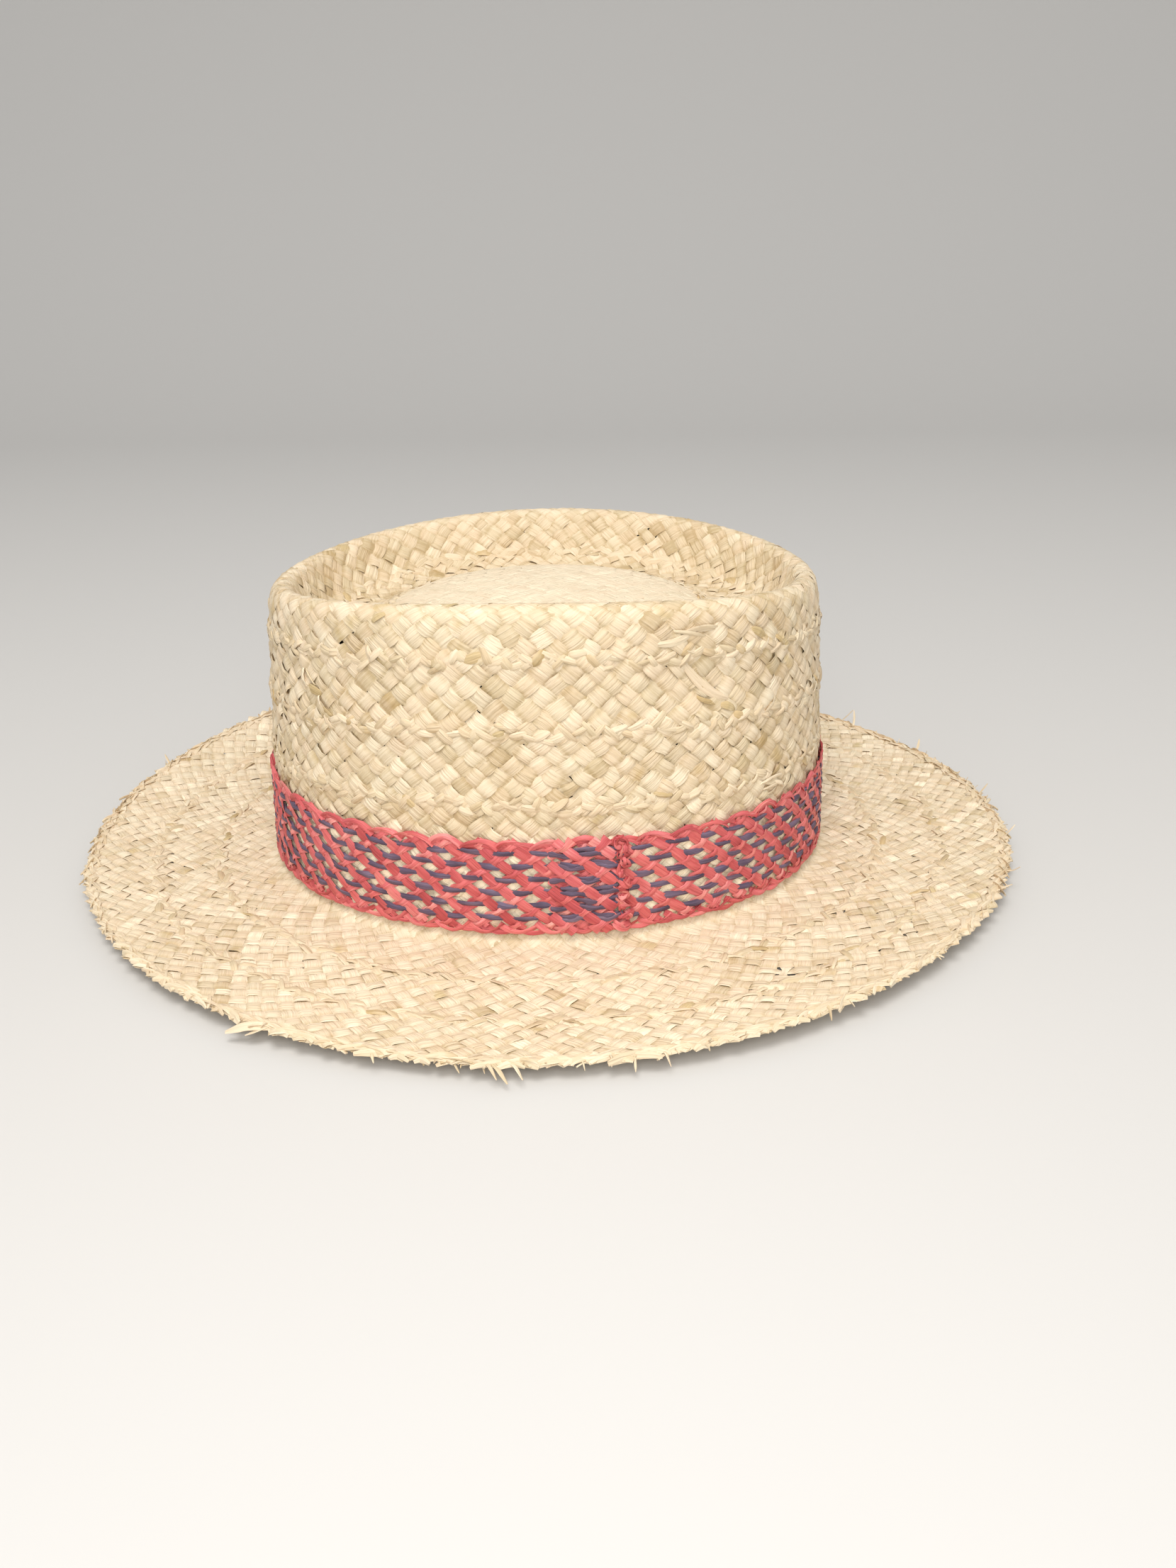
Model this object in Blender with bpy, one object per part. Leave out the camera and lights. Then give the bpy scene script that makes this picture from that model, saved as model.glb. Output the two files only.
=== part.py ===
# Straw hat with an oval crown, a sunken top, a flat brim and an openwork plaited band.
# Metres. +Z is up, -X is the wearer's front and -Y the wearer's left.
# The origin is on the table, under the middle of the brim.

import math

import bmesh
import bpy
from mathutils import Vector

# Straw sheet
STRAW_THICKNESS = 0.002
SEAT_GAP = 0.0003  # between pieces that touch

# Crown, measured over its outside
CROWN_BASE_LENGTH = 0.204
CROWN_BASE_WIDTH = 0.1736
CROWN_TOP_LENGTH = 0.1912
CROWN_TOP_WIDTH = 0.1648
CROWN_HEIGHT = 0.1064  # mean height of the rim's crest over the table
CROWN_SQUARENESS = 2.09  # 2 is an ellipse
RIM_RADIUS = 0.0048  # rounding of the rim, over the straw
RIM_ARCH = 0.0038  # the crest is this much higher at the sides and lower at front and back
RIM_LEAN = 0.0022  # the crest is this much higher on the left and lower on the right
TOP_SHIFT_X = 0.0013  # the crown leans this far to the back, and this far to the left
TOP_SHIFT_Y = -0.0018
WALL_BARREL = 0.0006  # how far the wall swells at half height
RIDGE_HEIGHT = 0.0007  # of the rows where strips were added
RIDGE_WIDTH = 0.006

# Top of the crown, inside the rim
RECESS_DEPTH = 0.019
DOME_LENGTH = 0.115
DOME_WIDTH = 0.096
DOME_RISE = 0.0075

# Brim
BRIM_LENGTH = 0.3402
BRIM_WIDTH = 0.3100
BRIM_RISE = 0.0125  # the highest stretch of its edge over the table, to the middle of the sheet
BRIM_FLAT = 0.024  # the width that lies flat on the table
HEADLINE_RADIUS = 0.003  # the bend from brim to upstand
UPSTAND_HEIGHT = 0.0015  # of the straight stretch over that bend, which the band hides
HEM_WIDTH = 0.0045
HEM_THICKNESS = 0.0031

# Band
BAND_HEIGHT = 0.034
BAND_THICKNESS = 0.0018
SELVEDGE_HEIGHT = 0.0026
BAND_COLUMNS = 36
BAND_ROWS = 3
BAND_BAR = 0.0032  # width of the strips between the gaps

# Lapped end of the band
JOIN_FROM = -87.0  # degrees round the crown from +X
JOIN_TO = -73.0
JOIN_THICKNESS = 0.0015

# Facets
CROWN_SIDES = 48
JOIN_SIDES = 12
WALL_STEP = 0.015  # the tallest facet of the wall
RIM_STEPS = 5
BEND_STEPS = 3

# Rows where strips were added: share of the wall's height, and its share of RIDGE_HEIGHT
RIDGES = (
    {"height": 0.42, "rise": 1.0},
    {"height": 0.66, "rise": 1.0},
    {"height": 0.885, "rise": 0.9},
)

# Dents in the crown's wall: degrees round, share of the wall's height, reach in degrees and in share
# of the height, and depth as a share of the straw's thickness
DENTS = (
    {"round": -58.0, "height": 0.80, "reach": 13.0, "tall": 0.13, "depth": 0.80},
    {"round": -112.0, "height": 0.42, "reach": 22.0, "tall": 0.20, "depth": 0.40},
    {"round": 128.0, "height": 0.62, "reach": 24.0, "tall": 0.22, "depth": 0.60},
    {"round": 38.0, "height": 0.45, "reach": 20.0, "tall": 0.18, "depth": 0.45},
)

# Sunken ring, from the rim's inner edge (0) to the foot of the dome (1): share of the recess depth,
# and share of the rim's rise and fall that it follows
RECESS_SECTIONS = (
    {"along": 0.06, "depth": 0.42, "follow": 1.00},
    {"along": 0.17, "depth": 0.72, "follow": 0.90},
    {"along": 0.36, "depth": 0.94, "follow": 0.70},
    {"along": 0.62, "depth": 1.00, "follow": 0.50},
    {"along": 0.84, "depth": 0.97, "follow": 0.35},
    {"along": 1.00, "depth": 0.86, "follow": 0.20},
)

# Dome: share of its plan, share of its rise above its foot
DOME_SECTIONS = (
    {"plan": 0.84, "rise": 0.50},
    {"plan": 0.62, "rise": 0.80},
    {"plan": 0.34, "rise": 0.95},
    {"plan": 0.12, "rise": 1.00},
)

# The brim's edge round the hat: its height as a share of BRIM_RISE, and its reach as a share of the
# oval of BRIM_LENGTH and BRIM_WIDTH
EDGE_STATIONS = (
    {"round": 0.0, "rise": 0.45, "reach": 1.000},
    {"round": 45.0, "rise": 0.33, "reach": 0.979},
    {"round": 90.0, "rise": 0.96, "reach": 1.000},
    {"round": 135.0, "rise": 1.00, "reach": 0.982},
    {"round": 180.0, "rise": 0.51, "reach": 1.000},
    {"round": 225.0, "rise": 0.49, "reach": 0.990},
    {"round": 270.0, "rise": 0.42, "reach": 1.000},
    {"round": 315.0, "rise": 0.56, "reach": 0.988},
)

# Brim from the flat (0) to the hem (1), and the share of the edge's rise that is reached there
BRIM_SECTIONS = (
    {"along": 0.34, "rise": 0.12},
    {"along": 0.67, "rise": 0.48},
    {"along": 1.00, "rise": 0.92},
)

# The turned edge, from its top round to its underside: inset as a share of HEM_WIDTH, and height as a
# share of half HEM_THICKNESS
HEM_SECTIONS = (
    {"inset": 0.55, "height": 1.0},
    {"inset": 0.15, "height": 0.8},
    {"inset": 0.00, "height": 0.0},
    {"inset": 0.15, "height": -0.8},
    {"inset": 0.55, "height": -1.0},
)

# Lapped end, from where it comes up over the band to its knotted edge: share of its length, and
# thickness as a share of JOIN_THICKNESS
JOIN_SECTIONS = (
    {"along": 0.00, "thickness": 0.45},
    {"along": 0.10, "thickness": 1.00},
    {"along": 0.62, "thickness": 1.00},
    {"along": 0.74, "thickness": 1.75},
    {"along": 0.88, "thickness": 1.95},
    {"along": 1.00, "thickness": 0.90},
)

COLOURS = {
    "straw": (0.76, 0.62, 0.40, 1.0),
    "red straw": (0.72, 0.09, 0.08, 1.0),
}


def clear_scene():
    for old in list(bpy.data.objects):
        bpy.data.objects.remove(old, do_unlink=True)


def material(name, roughness):
    made = bpy.data.materials.new(name)
    made.use_nodes = True
    shader = made.node_tree.nodes["Principled BSDF"]
    shader.inputs["Base Color"].default_value = COLOURS[name]
    shader.inputs["Roughness"].default_value = roughness
    shader.inputs["Metallic"].default_value = 0.0
    return made


def link_mesh(name, bm, finish):
    bmesh.ops.recalc_face_normals(bm, faces=bm.faces)
    mesh = bpy.data.meshes.new(name)
    bm.to_mesh(mesh)
    bm.free()
    mesh.shade_smooth()
    mesh.set_sharp_from_angle(angle=math.radians(50))
    mesh.materials.append(finish)
    made = bpy.data.objects.new(name, mesh)
    bpy.context.scene.collection.objects.link(made)
    return made


def add_thickness(made, thickness):
    # The drawn sheet is the outside, and the straw lies under it.
    solid = made.modifiers.new("Thickness", "SOLIDIFY")
    solid.thickness = thickness
    solid.offset = -1.0
    solid.use_even_offset = True


def mix(first, last, share):
    return first + (last - first) * share


def bump(distance, reach):
    return math.exp(-((distance / reach) ** 2) * 2)


def turned_apart(first, last):
    # Degrees from one azimuth to another, the short way round
    return (first - last + 180) % 360 - 180


def azimuths(count):
    return [360 * step / count for step in range(count)]


def oval(azimuth, half_length, half_width, power=2.0):
    c = math.cos(math.radians(azimuth))
    s = math.sin(math.radians(azimuth))
    reach = (abs(c) ** power + abs(s) ** power) ** (-1 / power)
    return half_length * reach * c, half_width * reach * s


def rim_rise(azimuth):
    angle = math.radians(azimuth)
    return -RIM_ARCH * math.cos(2 * angle) - RIM_LEAN * math.sin(angle)


def crest_height(azimuth):
    return CROWN_HEIGHT + rim_rise(azimuth)


def along_edge(azimuth, column):
    # Smooth curve through one column of the brim's stations
    count = len(EDGE_STATIONS)
    at = (azimuth % 360) * count / 360
    first = int(at)
    share = at - first
    before, start, end, after = (EDGE_STATIONS[(first + k) % count][column] for k in (-1, 0, 1, 2))
    return 0.5 * (
        2 * start
        + (end - before) * share
        + (2 * before - 5 * start + 4 * end - after) * share**2
        + (3 * start - before - 3 * end + after) * share**3
    )


def edge_height(azimuth):
    return BRIM_RISE * along_edge(azimuth, "rise")


def edge_point(azimuth):
    reach = along_edge(azimuth, "reach")
    return oval(azimuth, BRIM_LENGTH / 2 * reach, BRIM_WIDTH / 2 * reach)


BEND_TOP = STRAW_THICKNESS + HEADLINE_RADIUS
UPSTAND_TOP = BEND_TOP + UPSTAND_HEIGHT
WALL_FOOT = UPSTAND_TOP + SEAT_GAP
WALL_HEIGHT = CROWN_HEIGHT - RIM_RADIUS - WALL_FOOT  # mean
BAND_FOOT = BEND_TOP + SEAT_GAP


def wall_share(azimuth, height):
    return (height - WALL_FOOT) / (crest_height(azimuth) - RIM_RADIUS - WALL_FOOT)


def wall_levels():
    # Shares of the wall's height, with a row of facets on each ridge and at either foot of it
    reach = RIDGE_WIDTH / 2 / WALL_HEIGHT
    main = [0.0]
    for ridge in RIDGES:
        main += [ridge["height"] - reach, ridge["height"], ridge["height"] + reach]
    main.append(1.0)
    levels = [main[0]]
    for low, high in zip(main, main[1:]):
        steps = math.ceil((high - low) * WALL_HEIGHT / WALL_STEP)
        levels += [mix(low, high, step / steps) for step in range(1, steps + 1)]
    return levels


def wall_dents(azimuth, share):
    out = WALL_BARREL * math.sin(math.pi * min(max(share, 0), 1))
    for ridge in RIDGES:
        away = (share - ridge["height"]) * WALL_HEIGHT
        out += RIDGE_HEIGHT * ridge["rise"] * bump(away, RIDGE_WIDTH / 2)
    for dent in DENTS:
        side = bump(turned_apart(azimuth, dent["round"]), dent["reach"])
        out -= STRAW_THICKNESS * dent["depth"] * side * bump(share - dent["height"], dent["tall"])
    return out


def wall_point(azimuth, height, out=0.0):
    # On the crown's outside, or that far out from it; the brim's upstand goes on straight below it
    share = min(max(wall_share(azimuth, height), 0), 1)
    out += wall_dents(azimuth, share)
    x, y = oval(
        azimuth,
        mix(CROWN_BASE_LENGTH, CROWN_TOP_LENGTH, share) / 2 + out,
        mix(CROWN_BASE_WIDTH, CROWN_TOP_WIDTH, share) / 2 + out,
        CROWN_SQUARENESS,
    )
    return Vector((x + TOP_SHIFT_X * share, y + TOP_SHIFT_Y * share, height))


def wall_ring(share):
    ring = []
    for azimuth in azimuths(CROWN_SIDES):
        height = mix(WALL_FOOT, crest_height(azimuth) - RIM_RADIUS, share)
        ring.append(wall_point(azimuth, height))
    return ring


def top_ring(half_length, half_width, height, follow):
    ring = []
    for azimuth in azimuths(CROWN_SIDES):
        x, y = oval(azimuth, half_length, half_width, CROWN_SQUARENESS)
        ring.append(Vector((x + TOP_SHIFT_X, y + TOP_SHIFT_Y, height + follow * rim_rise(azimuth))))
    return ring


def rim_rings():
    # Half round over the crest, from the wall to the rim's inner edge
    rings = []
    for step in range(1, RIM_STEPS + 1):
        angle = math.pi * step / RIM_STEPS
        inset = RIM_RADIUS * (1 - math.cos(angle))
        rings.append(
            top_ring(
                CROWN_TOP_LENGTH / 2 - inset,
                CROWN_TOP_WIDTH / 2 - inset,
                CROWN_HEIGHT - RIM_RADIUS * (1 - math.sin(angle)),
                1.0,
            )
        )
    return rings


def recess_rings():
    inner_length = CROWN_TOP_LENGTH - 4 * RIM_RADIUS
    inner_width = CROWN_TOP_WIDTH - 4 * RIM_RADIUS
    return [
        top_ring(
            mix(inner_length, DOME_LENGTH, section["along"]) / 2,
            mix(inner_width, DOME_WIDTH, section["along"]) / 2,
            CROWN_HEIGHT - RECESS_DEPTH * section["depth"],
            section["follow"],
        )
        for section in RECESS_SECTIONS
    ]


def dome_rings():
    foot = RECESS_SECTIONS[-1]
    foot_height = CROWN_HEIGHT - RECESS_DEPTH * foot["depth"]
    return [
        top_ring(
            DOME_LENGTH / 2 * section["plan"],
            DOME_WIDTH / 2 * section["plan"],
            foot_height + DOME_RISE * section["rise"],
            foot["follow"] * section["plan"],
        )
        for section in DOME_SECTIONS
    ]


def skin(bm, rings, closed=False):
    # Quads from each ring of points to the next, and back to the first if closed
    loops = [[bm.verts.new(point) for point in ring] for ring in rings]
    pairs = list(zip(loops, loops[1:]))
    if closed:
        pairs.append((loops[-1], loops[0]))
    for low, high in pairs:
        for step in range(len(low)):
            after = (step + 1) % len(low)
            bm.faces.new((low[step], low[after], high[after], high[step]))
    return loops


def build_crown(straw):
    bm = bmesh.new()
    rings = [wall_ring(share) for share in wall_levels()]
    rings += rim_rings() + recess_rings() + dome_rings()
    loops = skin(bm, rings)
    last = loops[-1]
    middle = bm.verts.new(sum((v.co for v in last), Vector()) / len(last))
    for step in range(len(last)):
        bm.faces.new((last[step], last[(step + 1) % len(last)], middle))
    add_thickness(link_mesh("crown", bm, straw), STRAW_THICKNESS)


def brim_ring(out, height_of, share_of_oval=0.0):
    # out is from the headline; share_of_oval is how far the outline has gone from crown to brim edge
    ring = []
    for azimuth in azimuths(CROWN_SIDES):
        x, y = oval(
            azimuth,
            CROWN_BASE_LENGTH / 2 + out,
            CROWN_BASE_WIDTH / 2 + out,
            CROWN_SQUARENESS,
        )
        edge_x, edge_y = edge_point(azimuth)
        x, y = mix(x, edge_x, share_of_oval), mix(y, edge_y, share_of_oval)
        ring.append(Vector((x, y, height_of(azimuth))))
    return ring


def bend_rings(radius, first, last):
    # The headline bend, about a centre that is HEADLINE_RADIUS outside the upstand and over the brim
    rings = []
    for step in range(BEND_STEPS + 1):
        angle = math.radians(mix(first, last, step / BEND_STEPS))
        out = HEADLINE_RADIUS + radius * math.cos(angle)
        height = BEND_TOP + radius * math.sin(angle)
        rings.append(brim_ring(out, lambda azimuth, height=height: height))
    return rings


def brim_share(distance):
    # How far that distance from the headline goes across the brim
    return distance / ((BRIM_LENGTH - CROWN_BASE_LENGTH) / 2)


def sheet_ring(section, side):
    # side is 1 for the top of the sheet and -1 for its underside
    across = mix(brim_share(BRIM_FLAT), 1 - brim_share(HEM_WIDTH), section["along"])
    middle = STRAW_THICKNESS / 2

    def height(azimuth):
        rise = max(edge_height(azimuth) - middle, 0) * section["rise"]
        return middle + rise + side * middle

    return brim_ring(0.0, height, across)


def hem_ring(section):
    off_middle = section["height"] * HEM_THICKNESS / 2
    across = 1 - brim_share(section["inset"] * HEM_WIDTH)
    return brim_ring(0.0, lambda azimuth: edge_height(azimuth) + off_middle, across)


def build_brim(straw):
    flat = brim_share(BRIM_FLAT)
    rings = [brim_ring(0.0, lambda azimuth: UPSTAND_TOP)]
    rings += bend_rings(HEADLINE_RADIUS, 180, 270)
    rings.append(brim_ring(0.0, lambda azimuth: STRAW_THICKNESS, flat))
    rings += [sheet_ring(section, 1) for section in BRIM_SECTIONS]
    rings += [hem_ring(section) for section in HEM_SECTIONS]
    rings += [sheet_ring(section, -1) for section in reversed(BRIM_SECTIONS)]
    rings.append(brim_ring(0.0, lambda azimuth: 0.0, flat))
    rings += bend_rings(HEADLINE_RADIUS + STRAW_THICKNESS, 270, 180)
    rings.append(brim_ring(-STRAW_THICKNESS, lambda azimuth: UPSTAND_TOP))
    bm = bmesh.new()
    skin(bm, rings, closed=True)
    link_mesh("brim", bm, straw)


def band_point(column, up, out):
    return wall_point(360 * column / BAND_COLUMNS, BAND_FOOT + up, out)


def build_band(red):
    # An X lattice: rows of four-cornered cells, each with a gap, between two closed selvedges
    outside = SEAT_GAP + BAND_THICKNESS
    row = (BAND_HEIGHT - 2 * SELVEDGE_HEIGHT) / (BAND_ROWS + 1)
    pitch = math.pi * (CROWN_BASE_LENGTH + CROWN_BASE_WIDTH) / 2 / BAND_COLUMNS
    # A bar of this width leaves a gap of this share of the cell
    cell_reach = row * pitch / 2 / math.hypot(row, pitch / 2)
    gap = 1 - BAND_BAR / 2 / cell_reach
    bm = bmesh.new()
    placed = {}

    def corner(column, up):
        key = (round(column * 2) % (2 * BAND_COLUMNS), round(up, 6))
        if key not in placed:
            placed[key] = bm.verts.new(band_point(column, up, outside))
        return placed[key]

    def cell(column, up):
        around = [(column, up - row), (column + 0.5, up), (column, up + row), (column - 0.5, up)]
        outer = [corner(*place) for place in around]
        inner = [
            bm.verts.new(band_point(mix(column, c, gap), mix(up, u, gap), outside)) for c, u in around
        ]
        for k in range(4):
            n = (k + 1) % 4
            bm.faces.new((outer[k], outer[n], inner[n], inner[k]))

    def selvedge(edge, inner_edge, lattice_row, shift):
        # Half a column at a time, and up to the row where the next gaps' corners meet
        for step in range(2 * BAND_COLUMNS):
            here = step / 2 + shift
            after = here + 0.5
            low = corner(here, inner_edge)
            high = corner(after, inner_edge)
            bm.faces.new((corner(here, edge), corner(after, edge), high, low))
            bm.faces.new((low, high, corner(after if step % 2 == 0 else here, lattice_row)))

    for index in range(BAND_ROWS):
        for column in range(BAND_COLUMNS):
            cell(column + 0.5 * (index % 2), SELVEDGE_HEIGHT + row * (index + 1))
    top_inner = BAND_HEIGHT - SELVEDGE_HEIGHT
    selvedge(0.0, SELVEDGE_HEIGHT, SELVEDGE_HEIGHT + row, 0.0)
    selvedge(BAND_HEIGHT, top_inner, top_inner - row, 0.5 * ((BAND_ROWS - 1) % 2))
    add_thickness(link_mesh("hat_band", bm, red), BAND_THICKNESS)


def join_thickness(along):
    for low, high in zip(JOIN_SECTIONS, JOIN_SECTIONS[1:]):
        if along <= high["along"]:
            share = (along - low["along"]) / (high["along"] - low["along"])
            return JOIN_THICKNESS * mix(low["thickness"], high["thickness"], share)
    return JOIN_THICKNESS * JOIN_SECTIONS[-1]["thickness"]


def build_join(red):
    # Four corners at each station along the lapped end, which lies on the band
    seat = 2 * SEAT_GAP + BAND_THICKNESS
    rings = []
    for step in range(JOIN_SIDES + 1):
        along = step / JOIN_SIDES
        azimuth = mix(JOIN_FROM, JOIN_TO, along)
        out = seat + join_thickness(along)
        low, high = BAND_FOOT, BAND_FOOT + BAND_HEIGHT
        rings.append(
            [
                wall_point(azimuth, low, seat),
                wall_point(azimuth, low, out),
                wall_point(azimuth, high, out),
                wall_point(azimuth, high, seat),
            ]
        )
    bm = bmesh.new()
    loops = skin(bm, rings)
    bm.faces.new(loops[0])
    bm.faces.new(loops[-1])
    link_mesh("band_join", bm, red)


def main():
    clear_scene()
    straw = material("straw", 0.65)
    red = material("red straw", 0.55)
    build_crown(straw)
    build_brim(straw)
    build_band(red)
    build_join(red)


main()
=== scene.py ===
import math

import bpy
import numpy as np
from mathutils import Matrix, Vector
from mathutils.bvhtree import BVHTree


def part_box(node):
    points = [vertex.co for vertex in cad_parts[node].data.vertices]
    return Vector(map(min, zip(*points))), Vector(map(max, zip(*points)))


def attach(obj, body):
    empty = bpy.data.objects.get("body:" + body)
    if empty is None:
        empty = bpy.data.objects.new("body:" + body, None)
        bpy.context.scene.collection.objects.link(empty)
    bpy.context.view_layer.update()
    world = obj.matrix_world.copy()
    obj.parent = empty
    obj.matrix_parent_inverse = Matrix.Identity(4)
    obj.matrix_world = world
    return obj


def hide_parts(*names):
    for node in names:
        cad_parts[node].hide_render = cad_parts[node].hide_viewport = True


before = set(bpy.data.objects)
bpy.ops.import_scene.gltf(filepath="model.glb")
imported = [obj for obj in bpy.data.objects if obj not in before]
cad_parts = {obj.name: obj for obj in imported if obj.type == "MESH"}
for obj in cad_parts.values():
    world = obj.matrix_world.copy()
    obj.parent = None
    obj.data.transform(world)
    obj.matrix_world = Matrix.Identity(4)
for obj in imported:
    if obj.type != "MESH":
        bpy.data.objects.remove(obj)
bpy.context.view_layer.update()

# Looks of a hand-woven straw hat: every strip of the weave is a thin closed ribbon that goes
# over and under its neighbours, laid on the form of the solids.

mm = 0.001
print("Frame loaded")


# Small helpers

def smoothStep(share):
    share = np.clip(share, 0, 1)
    return share * share * (3 - 2 * share)


def unit(vectors):
    return vectors / np.maximum(np.linalg.norm(vectors, axis=-1, keepdims=True), 1e-12)


def dice(*seed):
    return np.random.default_rng(seed)


def swell(seed, turn, length, terms=6, fineness=1.0):
    # Smooth wandering values of about -1 to 1 that close on themselves round the hat
    rng = dice(seed)
    total = 0
    for _ in range(terms):
        roundTurns = round(rng.uniform(2, 16) * fineness) + 1
        perMetre = rng.normal(0, 60) * fineness
        phase = rng.uniform(0, math.tau)
        total = total + np.sin(math.tau * roundTurns * turn + perMetre * length + phase)
    return total / math.sqrt(terms)


def betweenKnots(values, at):
    # Values given at whole numbers, eased from one to the next
    low = np.floor(at).astype(int)
    share = smoothStep(at - low)
    return values[low] * (1 - share) + values[low + 1] * share


def wander(rng, at, knots, spread, middle=0):
    # Random values, one at each whole number from -1 on, eased from one to the next
    return betweenKnots(rng.normal(middle, spread, knots), at + 1)


def twoFolds(rng, at, knots, spread):
    return np.stack([wander(rng, at, knots, spread) for _ in range(2)], -1)


def lengthsAlong(path):
    return np.concatenate([[0], np.cumsum(np.linalg.norm(np.diff(path, axis=0), axis=1))])


# The solids' outside, read as rows round the hat

reading = {
    "headings": 240,
    "smoothing": 3.2,  # degrees round; takes the solids' facets out
    "wallRows": 60,
    "topRows": 60,
    "brimRows": 50,
    "over": 0.02,  # height over a solid at which the rays down start
    "rimRadius": 4.8 * mm,
    "bendRadius": 3.0 * mm,  # where the brim turns up into the crown
    "hemWidth": 5.5 * mm,
    "domeFoot": 0.66,  # share of the recess's plan
}
domeGrid = {"step": 1.5 * mm, "margin": 8 * mm, "over": 0.03, "smoothings": 5}
turns = np.arange(reading["headings"]) / reading["headings"]


def nodeTree(name):
    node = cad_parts[name]
    points = [node.matrix_world @ vertex.co for vertex in node.data.vertices]
    return BVHTree.FromPolygons(points, [tuple(face.vertices) for face in node.data.polygons])


def meets(tree, start, way):
    return tree.ray_cast(Vector(start), Vector(way), 1.0)[0]


def topAt(tree, plan, above):
    return meets(tree, (*plan, above), (0, 0, -1))


def ovalWay(turn, halfLength, halfWidth):
    x = halfLength * math.cos(math.tau * turn)
    y = halfWidth * math.sin(math.tau * turn)
    return np.array([x, y]) / math.hypot(x, y)


def ovalReach(way, halfLength, halfWidth):
    return 1 / math.hypot(way[0] / halfLength, way[1] / halfWidth)


def roundSmooth(rows):
    count = len(rows)
    spread = reading["smoothing"] / 360 * count
    total, weights = 0, 0
    for step in range(-int(3 * spread), int(3 * spread) + 1):
        weight = math.exp(-0.5 * (step / spread) ** 2)
        total = total + weight * np.roll(rows, step, axis=0)
        weights += weight
    return total / weights


def evenPath(path, count):
    # The same path with count equal steps
    gone = lengthsAlong(path)
    places = np.linspace(0, gone[-1], count + 1)
    return np.stack([np.interp(places, gone, path[:, axis]) for axis in range(3)], axis=-1)


def makeSheet(rows, facing):
    around = np.roll(rows, -1, axis=0) - np.roll(rows, 1, axis=0)
    onward = np.gradient(rows, axis=1)
    normals = unit(np.cross(around, onward)) * facing
    steps = np.linalg.norm(np.diff(rows, axis=1), axis=2).mean(axis=0)
    girth = np.linalg.norm(rows - np.roll(rows, 1, axis=0), axis=2).sum(axis=0)
    return {
        "points": rows,
        "normals": normals,
        "length": np.concatenate([[0], np.cumsum(steps)]),
        "girth": girth,
        "facing": facing,
    }


def onSheet(sheet, turn, length, lift=0.0):
    # Places and normals at shares of a turn and lengths along the sheet
    count = len(sheet["points"])
    rowsHere = np.interp(length, sheet["length"], np.arange(len(sheet["length"])))
    row = np.clip(rowsHere.astype(int), 0, len(sheet["length"]) - 2)
    rowShare = (rowsHere - row)[..., None]
    column = (np.asarray(turn) % 1.0) * count
    first = column.astype(int) % count
    columnShare = (column - np.floor(column))[..., None]
    after = (first + 1) % count
    mixed = []
    for grid in (sheet["points"], sheet["normals"]):
        near = grid[first, row] * (1 - rowShare) + grid[first, row + 1] * rowShare
        far = grid[after, row] * (1 - rowShare) + grid[after, row + 1] * rowShare
        mixed.append(near * (1 - columnShare) + far * columnShare)
    points, normals = mixed
    normals = unit(normals)
    for end, inner in ((-1, -3), (0, 2)):  # straight on past either end
        beyond = np.maximum((np.asarray(length) - sheet["length"][end]) * (1 if end else -1), 0)
        onward = unit(sheet["points"][first, end] - sheet["points"][first, inner])
        points = points + onward * beyond[..., None]
    return points + normals * np.asarray(lift)[..., None], normals


def girthAt(sheet, length):
    return np.interp(length, sheet["length"], sheet["girth"])


def openNode(name):
    # A solid to read: its surface, lowest corner, half length and width, and a height over all of it
    low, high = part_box(name)
    half = (high.x - low.x) / 2, (high.y - low.y) / 2
    return nodeTree(name), low, half, high.z + reading["over"]


def readRim(tree, way, middle, level):
    # From the rim's outside over to its inside, by rays towards its middle line
    radius = reading["rimRadius"]
    rim = []
    for angle in np.linspace(0.12, math.pi - 0.12, 15):
        out, up = math.cos(angle), math.sin(angle)
        start = (*(way * (middle + 3 * radius * out)), level + 3 * radius * up)
        rim.append(tuple(meets(tree, start, (*(-way * out), -up))))
    return rim


def readRecess(tree, inners, above):
    # From the rim's inside to the dome's foot, in steps that are closer near the rim
    middle = inners.mean(axis=0)
    shares = 1 - (1 - reading["domeFoot"]) * np.linspace(0.012, 1, 40) ** 1.3
    recess = []
    for inner in inners:
        plans = [middle + (inner - middle) * share for share in shares]
        recess.append([tuple(topAt(tree, plan, above)) for plan in plans])
    return np.array(recess)


def readCrown():
    tree, low, half, above = openNode("crown")
    radius = reading["rimRadius"]
    walls, rims, inners = [], [], []
    for turn in turns:
        way = ovalWay(turn, *half)
        reach = ovalReach(way, *half)
        hits = [topAt(tree, way * r, above) for r in np.linspace(0.86, 1, 29) * reach]
        crest = max(hit.z for hit in hits if hit)
        levels = np.linspace(low.z + 0.2 * mm, crest - radius, 26)
        wall = [meets(tree, (*(way * reach * 2), z), (*-way, 0)) for z in levels]
        middle = math.hypot(wall[-1].x, wall[-1].y) - radius
        walls.append([tuple(hit) for hit in wall])
        rims.append(readRim(tree, way, middle, levels[-1]))
        inners.append(way * (middle - radius))
    recess = readRecess(tree, roundSmooth(np.array(inners)), above)
    wall = roundSmooth(np.array(walls))
    top = roundSmooth(np.concatenate([np.array(rims), recess], axis=1))
    top = np.concatenate([wall[:, -1:], top], axis=1)
    wallRows = np.array([evenPath(path, reading["wallRows"]) for path in wall])
    topRows = np.array([evenPath(path, reading["topRows"]) for path in top])
    sheet = makeSheet(np.concatenate([wallRows, topRows[:, 1:]], axis=1), 1)
    sheet["wallLength"] = sheet["length"][reading["wallRows"]]
    return sheet


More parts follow.
